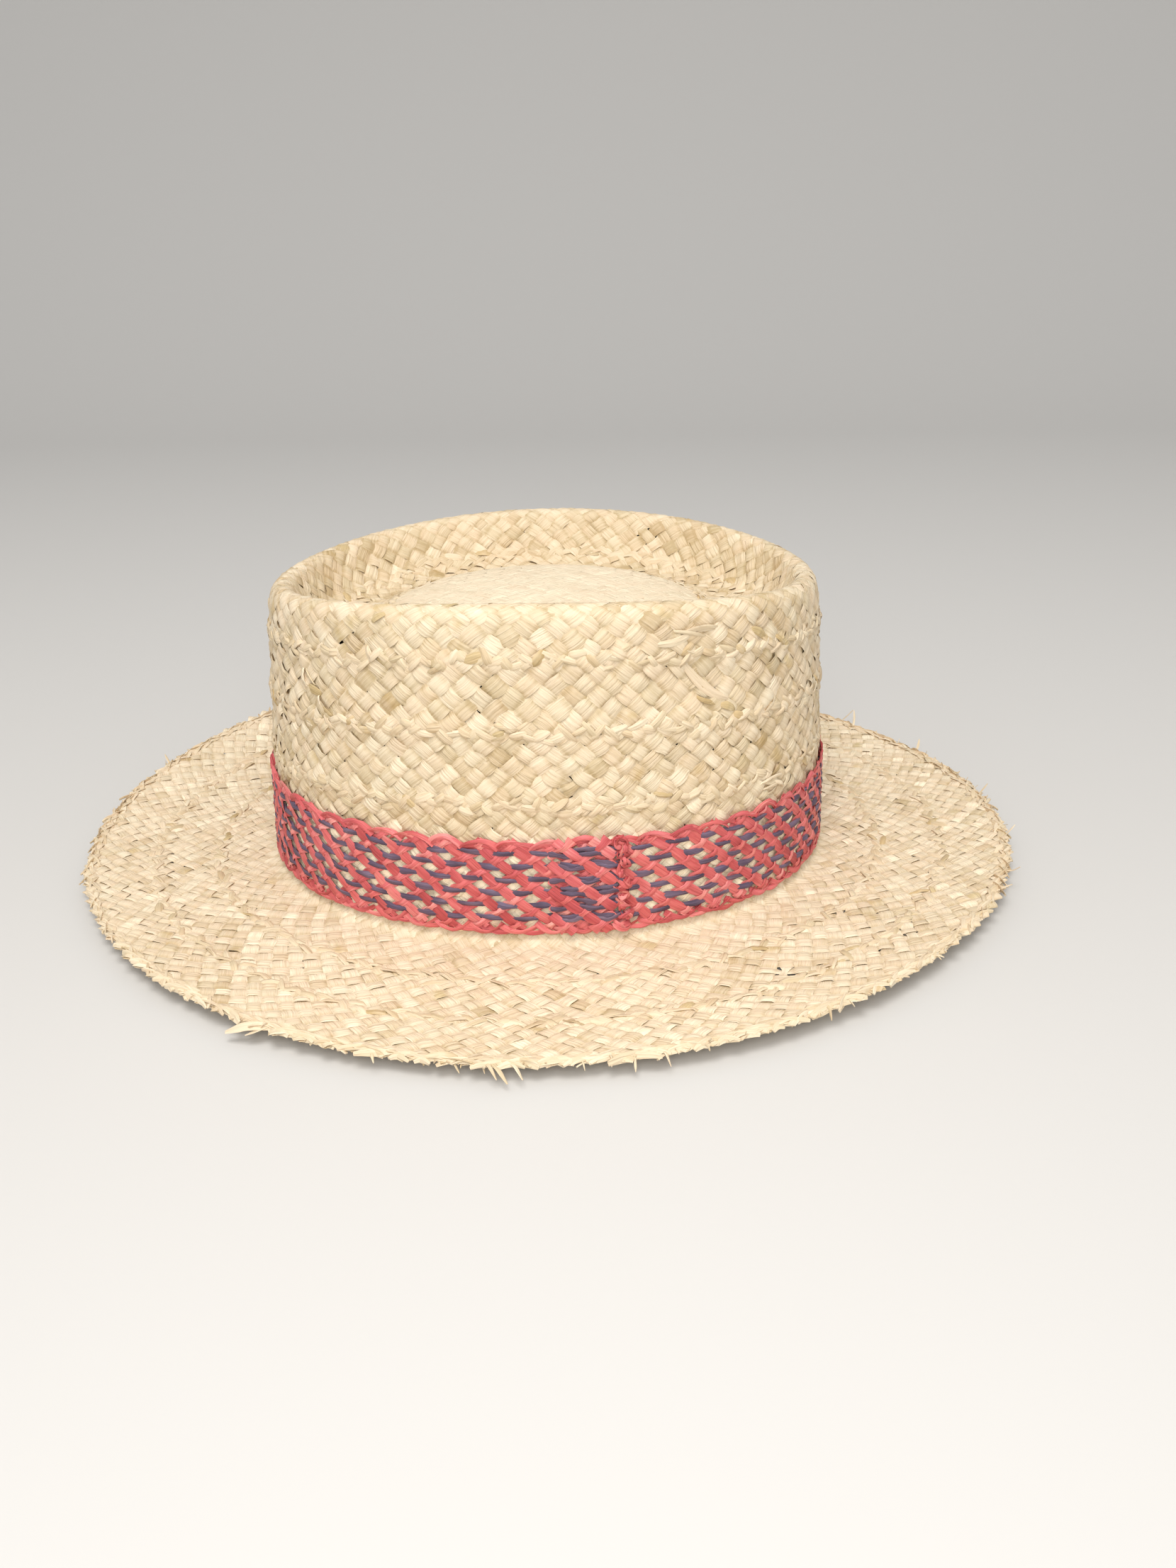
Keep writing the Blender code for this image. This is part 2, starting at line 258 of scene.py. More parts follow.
def brimReach(tree, way, oval, above):
    # How far out the brim goes on one heading, found by halving
    inside, outside = 0.85 * oval, 1.1 * oval
    for _ in range(16):
        tried = (inside + outside) / 2
        if topAt(tree, way * tried, above):
            inside = tried
        else:
            outside = tried
    return inside


def readBrim(crownSheet):
    tree, low, half, above = openNode("brim")
    bend, hem = reading["bendRadius"], reading["hemWidth"]
    rows = []
    for foot in crownSheet["points"][:, 0]:
        way = unit(foot[:2])
        start = np.linalg.norm(foot[:2])
        path = [(*(way * start), foot[2] - 0.5 * mm)]
        floor = topAt(tree, way * (start + bend), above).z
        for angle in np.linspace(0, math.pi / 2, 5):
            out, up = bend * (1 - math.cos(angle)), bend * (1 - math.sin(angle))
            path.append((*(way * (start + out)), floor + up))
        reach = brimReach(tree, way, ovalReach(way, *half), above)
        spots = np.linspace(start + bend + 1 * mm, reach - hem, 40)
        tops = [topAt(tree, way * spot, above).z for spot in spots]
        path += [(*(way * spot), z) for spot, z in zip(spots, tops)]
        slope = (tops[-1] - tops[-8]) / (spots[-1] - spots[-8])
        path.append((*(way * reach), tops[-1] + slope * hem))
        rows.append(path)
    rows = roundSmooth(np.array(rows))
    return makeSheet(np.array([evenPath(path, reading["brimRows"]) for path in rows]), -1)


def readBand(crownSheet):
    # The crown's outside over the band's height, carried straight down past the crown's foot
    low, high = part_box("hat_band")
    heights = np.linspace(low.z, high.z, 30)
    rows = []
    for path in crownSheet["points"]:
        wall = path[: reading["wallRows"]]
        plans = [np.interp(heights, wall[:, 2], wall[:, axis]) for axis in (0, 1)]
        rows.append(np.stack([*plans, heights], -1))
    return makeSheet(np.array(rows), 1)


def readDome(crownSheet):
    # Heights on a square grid over the dome, smoothed
    tree = nodeTree("crown")
    rim = crownSheet["points"][:, -1]
    low = rim[:, :2].min(axis=0) - domeGrid["margin"]
    high = rim[:, :2].max(axis=0) + domeGrid["margin"]
    xs, ys = (np.arange(low[axis], high[axis], domeGrid["step"]) for axis in (0, 1))
    above = rim[:, 2].max() + domeGrid["over"]
    heights = np.array([[topAt(tree, (x, y), above).z for y in ys] for x in xs])
    for _ in range(domeGrid["smoothings"]):
        padded = np.pad(heights, 1, mode="edge")
        heights = (padded[1:-1, 1:-1] * 2 + padded[:-2, 1:-1] + padded[2:, 1:-1]
                   + padded[1:-1, :-2] + padded[1:-1, 2:]) / 6
    return {"xs": xs, "ys": ys, "heights": heights}


def onDome(dome, x, y, lift):
    step, z = domeGrid["step"], dome["heights"]
    column = np.clip((x - dome["xs"][0]) / step, 0, len(dome["xs"]) - 2.001)
    row = np.clip((y - dome["ys"][0]) / step, 0, len(dome["ys"]) - 2.001)
    i, j = column.astype(int), row.astype(int)
    a, b = column - i, row - j
    alongX = (z[i + 1, j] - z[i, j]) * (1 - b) + (z[i + 1, j + 1] - z[i, j + 1]) * b
    alongY = (z[i, j + 1] - z[i, j]) * (1 - a) + (z[i + 1, j + 1] - z[i + 1, j]) * a
    height = z[i, j] + alongX * a + (z[i, j + 1] - z[i, j]) * b
    normals = unit(np.stack([-alongX / step, -alongY / step, np.ones_like(x)], -1))
    return np.stack([x, y, height], -1) + normals * lift[..., None], normals


# Ribbons: thin closed strips of six sides, gathered in piles that become one mesh each

ribbonSection = {
    "rails": np.array([-1, -0.5, 0.5, 1]),  # across the strip, in half widths
    "corner": np.array([0, 1, 2, 3, 2, 1]),  # the rail that each corner of the section lies on
    "up": np.array([0.1, 1, 1, 0.1, -1, -1]),  # in half thicknesses
    "under": 0.8,  # share of a crease that shows on the underside
    "tip": 0.02 * mm,  # how far each end comes to a point
}
sides = 6
ring = np.arange(sides)


def newPile():
    pile = {key: [] for key in ("points", "quads", "tris", "quadCells", "triCells", "lay", "tone", "stain")}
    return {**pile, "size": 0, "ribbons": 0, "reach": 0.0, "girth": 0.0}


def flatRails(centres, normals, halfWidth, tilt=0.0):
    # Rails of a strip that lies straight across, leaned by the tilt
    onward = unit(np.gradient(centres, axis=0))
    aside = unit(np.cross(onward, normals))
    upward = np.cross(aside, onward)
    tilt = np.broadcast_to(tilt, len(centres))[:, None]
    leaned = aside * np.cos(tilt) + upward * np.sin(tilt)
    raised = upward * np.cos(tilt) - aside * np.sin(tilt)
    widths = np.broadcast_to(halfWidth, len(centres))
    across = ribbonSection["rails"][None] * widths[:, None]
    rails = centres[:, None] + leaned[:, None] * across[..., None]
    return rails, np.repeat(raised[:, None], 4, axis=1), widths


def bentRails(sheet, turn, length, lift, halfWidth, tilt=0.0, droop=0.0):
    # Rails of a strip that bends with the sheet; its edges droop
    girth = girthAt(sheet, length)
    way = unit(np.stack([np.gradient(turn) * girth, np.gradient(length)], -1))
    aside = np.stack([way[:, 1], -way[:, 0]], -1) * sheet["facing"]
    widths = np.broadcast_to(halfWidth, len(turn))
    rails, normals = [], []
    for across in ribbonSection["rails"]:
        off = aside * (across * widths)[:, None]
        raised = lift + across * widths * np.sin(tilt) - abs(across) ** 3 * droop
        spots, ups = onSheet(sheet, turn + off[:, 0] / girth, length + off[:, 1], raised)
        rails.append(spots)
        normals.append(ups)
    return np.stack(rails, 1), np.stack(normals, 1), widths


def ribbonFaces(count):
    # Corner numbers of the quads along a ribbon, and of the triangles that close its two ends
    station, side = np.meshgrid(np.arange(count - 1), ring, indexing="ij")
    here, there, after = station * sides, (station + 1) * sides, (side + 1) % sides
    quads = np.stack([here + side, here + after, there + after, there + side], -1).reshape(-1, 4)
    first = np.stack([(ring + 1) % sides, ring, np.full(sides, count * sides)], -1)
    last = np.stack([ring, (ring + 1) % sides, np.full(sides, count * sides + 1)], -1)
    last[:, :2] += (count - 1) * sides
    return quads, np.concatenate([first, last])


def ribbonCells(ends):
    # Places in the unit square for the same corners; ends are the stations' shares of the length
    u0, u1 = np.repeat(ends[:-1], sides), np.repeat(ends[1:], sides)
    low, high = ring / sides, (ring + 1) / sides
    v0, v1 = np.tile(low, len(ends) - 1), np.tile(high, len(ends) - 1)
    nought, middle = np.zeros(sides), (low + high) / 2
    quads = np.array([[u0, u0, u1, u1], [v0, v1, v1, v0]]).T
    first = np.array([[nought, nought, nought - 0.01], [high, low, middle]]).T
    last = np.array([[nought + 1, nought + 1, nought + 1.01], [low, high, middle]]).T
    return quads, np.concatenate([first, last])


def addRibbon(pile, path, halfThick, creases=0.0, tone=0.0, stain=0.0):
    rails, normals, widths = path
    count = len(rails)
    corner = ribbonSection["corner"]
    thicks = np.broadcast_to(halfThick, count)[:, None]
    folds = np.broadcast_to(creases, (count, 2))
    none = np.zeros((count, 1))
    folded = np.concatenate([none, folds, none, folds[:, ::-1] * ribbonSection["under"]], axis=1)
    up = ribbonSection["up"][None] * thicks + folded
    points = rails[:, corner] + normals[:, corner] * up[..., None]
    centres = rails.mean(axis=1)
    onward = unit(np.gradient(centres, axis=0)) * ribbonSection["tip"]
    tips = np.stack([centres[0] - onward[0], centres[-1] + onward[-1]])
    sunk = max(0.0, -points[..., 2].min())  # what would reach into the floor is lifted onto it
    points[..., 2] += sunk
    tips[:, 2] += sunk
    quads, tris = ribbonFaces(count)
    gone = lengthsAlong(centres)
    quadCells, triCells = ribbonCells(gone / max(gone[-1], 1e-9))
    pile["quads"].append(quads + pile["size"])
    pile["tris"].append(tris + pile["size"])
    pile["quadCells"].append((pile["ribbons"], quadCells))
    pile["triCells"].append((pile["ribbons"], triCells))
    pile["points"] += [points.reshape(-1, 3), tips]
    pile["size"] += count * sides + 2
    pile["ribbons"] += 1
    pile["reach"] = max(pile["reach"], gone[-1])
    pile["girth"] = max(pile["girth"], 4 * float(np.max(widths)))
    # Where each point lies on its straw, in millimetres, and a mark that sets the straws apart
    rng = dice(pile["ribbons"] * 7 + 3)
    begin, mark = rng.uniform(0, 400), rng.uniform(0, 90)
    across = ribbonSection["rails"][corner][None] * widths[:, None] / mm
    along = np.repeat((gone / mm + begin)[:, None], sides, 1)
    lay = np.stack([across, along, np.full((count, sides), mark)], -1).reshape(-1, 3)
    spreads = (np.repeat(np.broadcast_to(value, count), sides) for value in (tone, stain))
    for key, values in zip(("lay", "tone", "stain"), (lay, *spreads)):
        pile[key] += [values, values[:1], values[-1:]]


def cellCorners(pile, cells):
    # Lays every ribbon out in its own cell of the unit square
    columns = max(1, round(math.sqrt(pile["ribbons"] * pile["girth"] / pile["reach"])))
    rows = math.ceil(pile["ribbons"] / columns)
    placed = []
    for index, uv in cells:
        column, row = index % columns, index // columns
        spot = np.array([column, row]) + 0.03 + uv * np.array([0.94, 0.86])
        placed.append((spot / np.array([columns, rows])).reshape(-1, 2))
    return np.concatenate(placed)


def addObject(name, data):
    made = bpy.data.objects.new(name, data)
    bpy.context.scene.collection.objects.link(made)
    return made


def pileMesh(name, pile, finish):
    points = np.concatenate(pile["points"])
    quads = np.concatenate(pile["quads"])
    tris = np.concatenate(pile["tris"])
    mesh = bpy.data.meshes.new(name)
    mesh.vertices.add(len(points))
    mesh.vertices.foreach_set("co", points.astype(np.float32).ravel())
    corners = np.concatenate([quads.ravel(), tris.ravel()]).astype(np.int32)
    mesh.loops.add(len(corners))
    mesh.loops.foreach_set("vertex_index", corners)
    starts = np.concatenate([np.arange(len(quads)) * 4, len(quads) * 4 + np.arange(len(tris)) * 3])
    mesh.polygons.add(len(starts))
    mesh.polygons.foreach_set("loop_start", starts.astype(np.int32))
    mesh.update(calc_edges=True)
    spots = np.concatenate([cellCorners(pile, pile["quadCells"]), cellCorners(pile, pile["triCells"])])
    bakeMap = mesh.uv_layers.new(name="OFBake")
    bakeMap.data.foreach_set("uv", spots.astype(np.float32).ravel())
    kinds = (("lay", "FLOAT_VECTOR", "vector"), ("tone", "FLOAT", "value"), ("stain", "FLOAT", "value"))
    for key, kind, field in kinds:
        layer = mesh.attributes.new(key, kind, "POINT")
        layer.data.foreach_set(field, np.concatenate(pile[key]).astype(np.float32).ravel())
    mesh.shade_smooth()
    mesh.set_sharp_from_angle(angle=math.radians(65))
    mesh.materials.append(finish)
    print(f"  {name}: {pile['ribbons']} ribbons, {len(quads) * 2 + len(tris)} triangles")
    return addObject(name, mesh)


def place(name, pile, finish, nodes, slot):
    made = pileMesh(name, pile, finish)
    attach(made, "root")
    if nodes:
        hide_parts(*nodes)


# Materials

def nodeMaker(name):
    finish = bpy.data.materials.new(name)
    finish.use_nodes = True
    tree = finish.node_tree
    shader = tree.nodes["Principled BSDF"]

    def add(kind, links=None, **values):
        node = tree.nodes.new(kind)
        for key, value in values.items():
            setattr(node, key, value)
        for socket, source in (links or {}).items():
            target = node.inputs[socket]
            if hasattr(source, "is_output"):
                tree.links.new(source, target)
            else:
                target.default_value = source
        return node

    return finish, tree, shader, add


def maths(add, operation, *values):
    return add("ShaderNodeMath", dict(enumerate(values)), operation=operation).outputs[0]


def rescale(add, value, fromLow=0.0, fromHigh=1.0, toLow=0.0, toHigh=1.0):
    sockets = {"Value": value, "From Min": fromLow, "From Max": fromHigh, "To Min": toLow, "To Max": toHigh}
    return add("ShaderNodeMapRange", sockets).outputs[0]


def ramp(add, source, stops):
    node = add("ShaderNodeValToRGB", {"Fac": source})
    while len(node.color_ramp.elements) < len(stops):
        node.color_ramp.elements.new(0.5)
    for element, (place, colour) in zip(node.color_ramp.elements, stops):
        element.position = place
        element.color = (*colour, 1)
    return node.outputs["Color"]


def mixColour(add, share, first, second, blend="MIX"):
    first, second = ((*source, 1) if isinstance(source, tuple) else source for source in (first, second))
    sockets = {"Factor": share, 6: first, 7: second}
    return add("ShaderNodeMix", sockets, data_type="RGBA", blend_type=blend).outputs[2]


def strawNoise(add, lay, across, along, detail=1.0):
    # Noise drawn out along the strip; across and along are how many waves lie in a millimetre
    sockets = {0: lay, 1: (across, along, 1.0)}
    stretched = add("ShaderNodeVectorMath", sockets, operation="MULTIPLY").outputs[0]
    sockets = {"Vector": stretched, "Scale": 1.0, "Detail": detail}
    return add("ShaderNodeTexNoise", sockets).outputs["Fac"]


strawGrain = {  # waves in a millimetre across and along the strip, and detail
    "bands": (0.55, 0.05),
    "blotches": (0.25, 0.22, 2.0),
    "splits": (1.5, 0.05),
    "hues": (0.10, 0.06),
    "wrinkles": (1.0, 0.09),
    "fibresAlong": 0.10,
    "fibreDetail": 3.0,
    "splitWidth": 0.022,  # of the noise round its middle
    "stainFrom": 0.86,
    "stainFull": 1.25,
    "hueRange": (0.35, 0.65),
    "wrinkleShare": 2.0,  # of the relief, against 1 for the fibres
}


def makeStrip(name, look):
    finish, tree, shader, add = nodeMaker(name)
    grain = strawGrain
    lay = add("ShaderNodeAttribute", attribute_name="lay").outputs["Vector"]
    tone, stain = (add("ShaderNodeAttribute", attribute_name=key).outputs["Fac"] for key in ("tone", "stain"))
    fibres = strawNoise(add, lay, look["fibresPerMm"], grain["fibresAlong"], grain["fibreDetail"])
    bands, blotches, splits, hues, wrinkles = (
        strawNoise(add, lay, *grain[key]) for key in ("bands", "blotches", "splits", "hues", "wrinkles"))
    fine = maths(add, "MULTIPLY_ADD", fibres, look["fibreDepth"], -0.5 * look["fibreDepth"])
    broad = maths(add, "MULTIPLY_ADD", bands, look["bandDepth"], 0.5 - 0.5 * look["bandDepth"])
    level = maths(add, "MULTIPLY_ADD", tone, look["toneDepth"], maths(add, "ADD", fine, broad))
    colour = ramp(add, level, look["stops"])
    offMiddle = maths(add, "ABSOLUTE", maths(add, "SUBTRACT", splits, 0.5))
    split = rescale(add, offMiddle, 0.0, grain["splitWidth"], look["splits"], 0.0)
    colour = mixColour(add, split, colour, look["stops"][0][1])
    patch = rescale(add, maths(add, "ADD", blotches, stain), grain["stainFrom"], grain["stainFull"])
    colour = mixColour(add, patch, colour, look["stain"], "MULTIPLY")
    tint = mixColour(add, rescale(add, hues, *grain["hueRange"]), *look["tints"])
    colour = mixColour(add, 1.0, colour, tint, "MULTIPLY")
    rough = rescale(add, fibres, 0.0, 1.0, *look["roughness"])
    relief = maths(add, "MULTIPLY_ADD", wrinkles, grain["wrinkleShare"], fibres)
    bump = add("ShaderNodeBump", {"Height": relief, "Strength": look["bump"], "Distance": look["relief"]})
    tree.links.new(colour, shader.inputs["Base Color"])
    tree.links.new(rough, shader.inputs["Roughness"])
    tree.links.new(bump.outputs["Normal"], shader.inputs["Normal"])
    shader.inputs["Specular IOR Level"].default_value = look["gloss"]
    return finish


strawLook = {
    "fibresPerMm": 2.6,
    "fibreDepth": 0.55,
    "bandDepth": 0.45,
    "toneDepth": 0.105,
    # The last stop is reached mostly by the straw under the band, where painted light makes it paler
    "stops": [(0.10, (0.50, 0.38, 0.22)), (0.36, (0.655, 0.53, 0.36)), (0.55, (0.735, 0.61, 0.445)),
              (0.80, (0.82, 0.71, 0.545)), (1.0, (1.0, 0.855, 0.655))],
    "tints": ((1.0, 0.975, 0.95), (0.98, 1.0, 0.985)),
    "stain": (0.80, 0.74, 0.58),
    "roughness": (0.42, 0.70),
    "gloss": 0.3,
    "splits": 0.45,
    "bump": 0.8,
    "relief": 0.32 * mm,
}
redLook = {
    "fibresPerMm": 3.0,
    "fibreDepth": 0.55,
    "bandDepth": 0.5,
    "toneDepth": 0.12,
    "stops": [(0.08, (0.27, 0.038, 0.042)), (0.38, (0.51, 0.085, 0.092)), (0.62, (0.67, 0.16, 0.16)),
              (0.95, (0.86, 0.40, 0.36))],
    "tints": ((1.0, 0.97, 0.93), (1.0, 1.0, 1.06)),
    "stain": (0.75, 0.6, 0.6),
    "roughness": (0.4, 0.66),
    "gloss": 0.35,
    "splits": 0.4,
    "bump": 0.7,
    "relief": 0.28 * mm,
}
navyLook = {
    **redLook,
    "fibresPerMm": 4.0,
    "fibreDepth": 0.75,
    "bandDepth": 0.4,
    "stops": [(0.15, (0.050, 0.032, 0.058)), (0.45, (0.105, 0.072, 0.118)), (0.70, (0.18, 0.128, 0.190)),
              (0.92, (0.34, 0.27, 0.34))],
    "tints": ((1.0, 0.95, 0.92), (0.95, 1.0, 1.04)),
    "stain": (0.8, 0.7, 0.7),
    "roughness": (0.42, 0.65),
}


# The weave

def besideHoles(width, holes, turn, gone, girth):
    # Strips are narrower round each small hole, so that it opens between them
    for heading, along, reach, opened in holes:
        away = np.hypot(((turn - heading / 360 + 0.5) % 1 - 0.5) * girth, gone - along)
        width = width * (1 - opened * np.exp(-((away / reach) ** 2)))
    return width


def layStrips(pile, sheet, zone, look, lean):
    # lean is 1 for the strips that rise to the right and -1 for those that cross them
    first, last, count = zone["from"], zone["to"], zone["strips"]
    rows = max(3, round((last - first) / look["rowHeight"]))
    perRow = look["stationsPerRow"]
    at = np.arange(-perRow // 2, rows * perRow + perRow // 2 + 1) / perRow
    knots = rows + 4
    gone = first + at / rows * (last - first)
    girth = girthAt(sheet, gone)
    period, step = girth / count, (last - first) / rows
    pitch = period * step / np.hypot(period / 2, step)
    wave = np.clip(look["steepness"] * np.cos(math.pi * at), -1, 1) * lean
    over = np.maximum(wave, 0)
    close = np.exp(-(((gone - zone["tight"]) / look["tightReach"]) ** 2))
    loose = 1 - look["tightCalm"] * close
    ends = smoothStep((at + 0.5) / look["endFade"]) * smoothStep((rows + 0.5 - at) / look["endFade"])
    squeeze = 1 - look["squeeze"] * np.sin(math.pi * at) ** 2
    for index in range(count):
        rng = dice(zone["seed"], index, 7 + lean)
        turn = (index + lean * at / 2) / count
        sway, drift = (swell(zone["seed"] + way, turn, gone) * look["sway"] for way in (0, 1))
        wobble = wander(rng, at, knots, look["wobble"])
        puff = betweenKnots(rng.uniform(0, look["puff"], knots), at + 1) * over * loose
        # A float is thicker by its puff, so that no gap is left under it
        thick = (look["thickness"] + puff) / 2 + look["floatPad"] * over
        lift = -look["depth"] + look["amplitude"] * wave * (1 - look["tightFlat"] * close) + puff / 2
        lift = lift - (1 - ends) * look["tuck"]
        width = wander(rng, at, knots, look["widthSpread"], 1) * rng.normal(1, look["stripSpread"])
        width = np.clip(width, *look["widthRange"]) * squeeze * look["cover"]
        width = width * (1 + look["tightWiden"] * close)
        width = besideHoles(width, zone["holes"], turn, gone, girth)
        turn = turn + (sway + wobble) / girth
        tilt = wander(rng, at, knots, look["tilt"]) * over * loose
        creases = twoFolds(rng, at, knots, look["crease"]) * loose[:, None]
        tone = rng.normal(0, look["stripTone"]) + wander(rng, at, knots, look["rowTone"])
        stained = rng.random(knots) < look["stained"]
        stain = betweenKnots(np.where(stained, rng.uniform(*look["stainRange"], knots), 0.0), at + 1)
        # Paleness, partly painted light, and painted shade where a strip dives under the next
        tone = tone + look["paleAndPaintedLight"] - look["paintedDiveShade"] * (1 - abs(wave))
        # Painted light on the straw under the band, where the band shades it
        tone = tone + look["paintedLightGain"] * (1 - smoothStep((gone - look["paintedLightTop"]) / look["paintedLightFade"]))
        # Painted shade inside the rim's recess
        inside = gone - zone["tight"] - look["deepFrom"]
        tone = tone - look["paintedRecessShade"] * smoothStep(inside / look["deepFade"])
        path = bentRails(sheet, turn, gone + drift, lift, pitch / 2 * width, tilt, look["droop"])
        addRibbon(pile, path, thick, creases, tone, stain)


def shortBit(rng, look, girth, count, at, length, side, depth):
    # A short leaning bit of straw, narrower and lower at both ends
    along = np.linspace(-0.5, 0.5, 7)
    lean = side * math.radians(rng.normal(*look["slope"]))
    reach = look["reach"] * rng.uniform(*look["reachRange"])
    turn = (at + rng.uniform(-0.3, 0.3)) / count + along * reach * math.cos(lean) / girth
    gone = length + along * reach * math.sin(lean) + rng.normal(0, look["scatter"])
    lift = -depth + look["height"] * np.cos(math.pi * along) - look["tuck"] * (2 * along) ** 4
    lift = lift + rng.normal(0, look["rough"], len(along))
    widths = look["halfWidth"] * rng.uniform(*look["widthRange"]) * (1 - look["taper"] * (2 * along) ** 2)
    return turn, gone, lift, widths


def crinkleRow(pile, sheet, length, row, seed):
    # A rope-like row of short narrow bits, where strips were added
    rng = dice(seed)
    girth = girthAt(sheet, length)
    count = round(girth / row["spacing"])
    for index in range(count):
        side = 1 if index % 2 else -1
        turn, gone, lift, widths = shortBit(rng, row, girth, count, index, length, side, row["depth"])
        path = bentRails(sheet, turn, gone, lift, widths, rng.normal(0, row["roll"]), row["droop"])
        creases, tone = rng.normal(0, row["crease"], (len(turn), 2)), rng.normal(*row["tone"])
        stain = row["stain"] if rng.random() < row["stained"] else 0.0
        addRibbon(pile, path, row["halfThick"], creases, tone, stain)


def throughKnots(knots, steps):
    # Places on a smooth curve that passes through every knot
    t = np.linspace(0, len(knots) - 1, steps)
    padded = np.concatenate([knots[:1] * 2 - knots[1:2], knots, knots[-1:] * 2 - knots[-2:-1]])
    low = np.minimum(t.astype(int), len(knots) - 2)
    f = (t - low)[:, None]
    a, b, c, d = (padded[low + k] for k in range(4))
    return 0.5 * (2 * b + (c - a) * f + (2 * a - 5 * b + 4 * c - d) * f**2 + (3 * b - a - 3 * c + d) * f**3)


def freeStrip(pile, sheet, turn, length, path, halfWidth, halfThick, twist, tone, stain, steps=14):
    # path holds (round, out, up) from a place on the sheet; out goes on along the sheet
    here, up = (found[0] for found in onSheet(sheet, np.array([turn]), np.array([length])))
    back = onSheet(sheet, np.array([turn]), np.array([length - 1 * mm]))[0][0]
    outward = unit(here - back)
    aside = np.cross(outward, up)
    if aside[1] * here[0] - aside[0] * here[1] <= 0:
        aside = -aside
    local = throughKnots(np.array(path), steps)
    centres = here + local[:, :1] * aside + local[:, 1:2] * outward + local[:, 2:] * up
    taper = np.minimum(1, (1 - np.linspace(0, 1, steps)) * 3 + 0.35)
    tilt = np.linspace(twist[0], twist[1], steps)
    rails = flatRails(centres, np.tile(up, (steps, 1)), halfWidth * taper, tilt)
    addRibbon(pile, rails, halfThick, 0.0, tone, stain)


weaveLook = {
    "rowHeight": 3.45 * mm,
    "stationsPerRow": 4,
    "thickness": 0.36 * mm,
    "depth": 0.75 * mm,
    "amplitude": 0.21 * mm,
    "steepness": 1.5,  # of the step from over to under; 1 is an even wave
    "puff": 0.40 * mm,
    "floatPad": 0.04 * mm,  # more on a float's half thickness
    "droop": 0.06 * mm,
    "tuck": 0.5 * mm,
    "endFade": 0.7,  # rows over which a strip's end goes down by the tuck
    "cover": 1.07,
    "squeeze": 0.07,  # share of its width that a strip loses between two crossings
    "widthSpread": 0.13,
    "stripSpread": 0.04,
    "widthRange": (0.70, 1.12),
    "sway": 0.6 * mm,
    "wobble": 0.30 * mm,
    "tilt": 0.12,
    "crease": 0.18 * mm,
    "tightReach": 9 * mm,  # how far the weave is drawn close
    "tightCalm": 0.85,  # share of puff, tilt and creases that goes there
    "tightFlat": 0.5,  # share of the wave that goes there
    "tightWiden": 0.20,
    "stained": 0.04,
    "stainRange": (0.35, 0.8),
    "stripTone": 0.8,
    "rowTone": 0.75,
    "paintedDiveShade": 2.4,  # painted shade: how much darker a strip is where it dives under the next
    "paintedLightTop": 26.5 * mm,  # painted light: height up to which the straw under the band is made paler, against the band's shade
    "paintedLightFade": 3 * mm,
    # How much paler the straw under the band is made, painted light
    "paintedLightGain": 6.0,
    # Paler straw; on the brim this is partly its own colour and partly painted light from above
    "paleAndPaintedLight": 0.1,
    "paintedRecessShade": 0.6,  # painted shade: how much darker the straw is inside the rim's recess
    "deepFrom": 3 * mm,
    "deepFade": 7 * mm,
}
# The brim's straw is made paler: partly its own colour, partly painted light from above
brimLook = {**weaveLook, "rowHeight": 3.1 * mm, "thickness": 0.34 * mm, "depth": 1.0 * mm,
            "amplitude": 0.20 * mm, "puff": 0.20 * mm, "tilt": 0.07, "crease": 0.09 * mm, "cover": 1.08,
            "tuck": 0.15 * mm, "stained": 0.03, "droop": 0.03 * mm, "paintedLightTop": -10 * mm, "paleAndPaintedLight": 1.4,
            "paintedRecessShade": 0.0}
crownZones = {
    "strips": (76, 74, 72, 66),  # round the hat, in each zone
    "rings": (0.42, 0.66, 0.885),  # where strips are added, as shares of the wall
    "topRings": (1 * mm, 21 * mm),  # before the dome's foot
    "tight": 7 * mm,  # past the wall's top
}
brimZones = {"strips": (94, 116, 136), "rings": (0.36, 0.68), "endInset": 1.5 * mm}
wallRow = {
    "spacing": 2.9 * mm,
    "slope": (30, 14),  # degrees and their spread
    "reach": 6.8 * mm,
    "reachRange": (0.8, 1.25),
    "scatter": 1.3 * mm,
    "depth": 0.52 * mm,
    "height": 0.48 * mm,
    "tuck": 0.6 * mm,
    "rough": 0.06 * mm,
    "halfWidth": 1.2 * mm,
    "widthRange": (0.7, 1.35),
    "taper": 0.45,
    "halfThick": 0.26 * mm,
    "roll": 0.25,
    "droop": 0.15 * mm,
    "crease": 0.12 * mm,
    "tone": (-0.5, 0.8),
    "stain": 0.75,
    "stained": 0.06,
}
brimRow = {**wallRow, "spacing": 3.5 * mm, "slope": (24, 14), "reach": 8.0 * mm, "depth": 0.75 * mm,
           "height": 0.45 * mm, "scatter": 1.1 * mm, "stained": 0.05}
# Degrees round, share of the length, reach in millimetres, and how far the strips draw apart
brimHoles = [
    (-57.8, 0.597, 2.6, 0.62),
    (-56.8, 0.681, 2.6, 0.62),
    (-63.2, 0.668, 2.4, 0.60),
    (-62.4, 0.738, 2.4, 0.60),
    (-45.3, 0.759, 2.4, 0.60),
    (-38.6, 0.400, 2.2, 0.50),
]
wallHoles = [
    (-82.0, 0.495, 2.4, 0.45),
    (-65.0, 0.594, 2.2, 0.40),
]


def weaveZones(node, sheet, zones, look, straw):
    # The two crossing sets of strips over all the zones
    for lean, side in ((1, "right"), (-1, "left")):
        pile = newPile()
        for zone in zones:
            layStrips(pile, sheet, zone, look, lean)
        place(f"{node}_weave_{side}", pile, straw, [node], "straw")


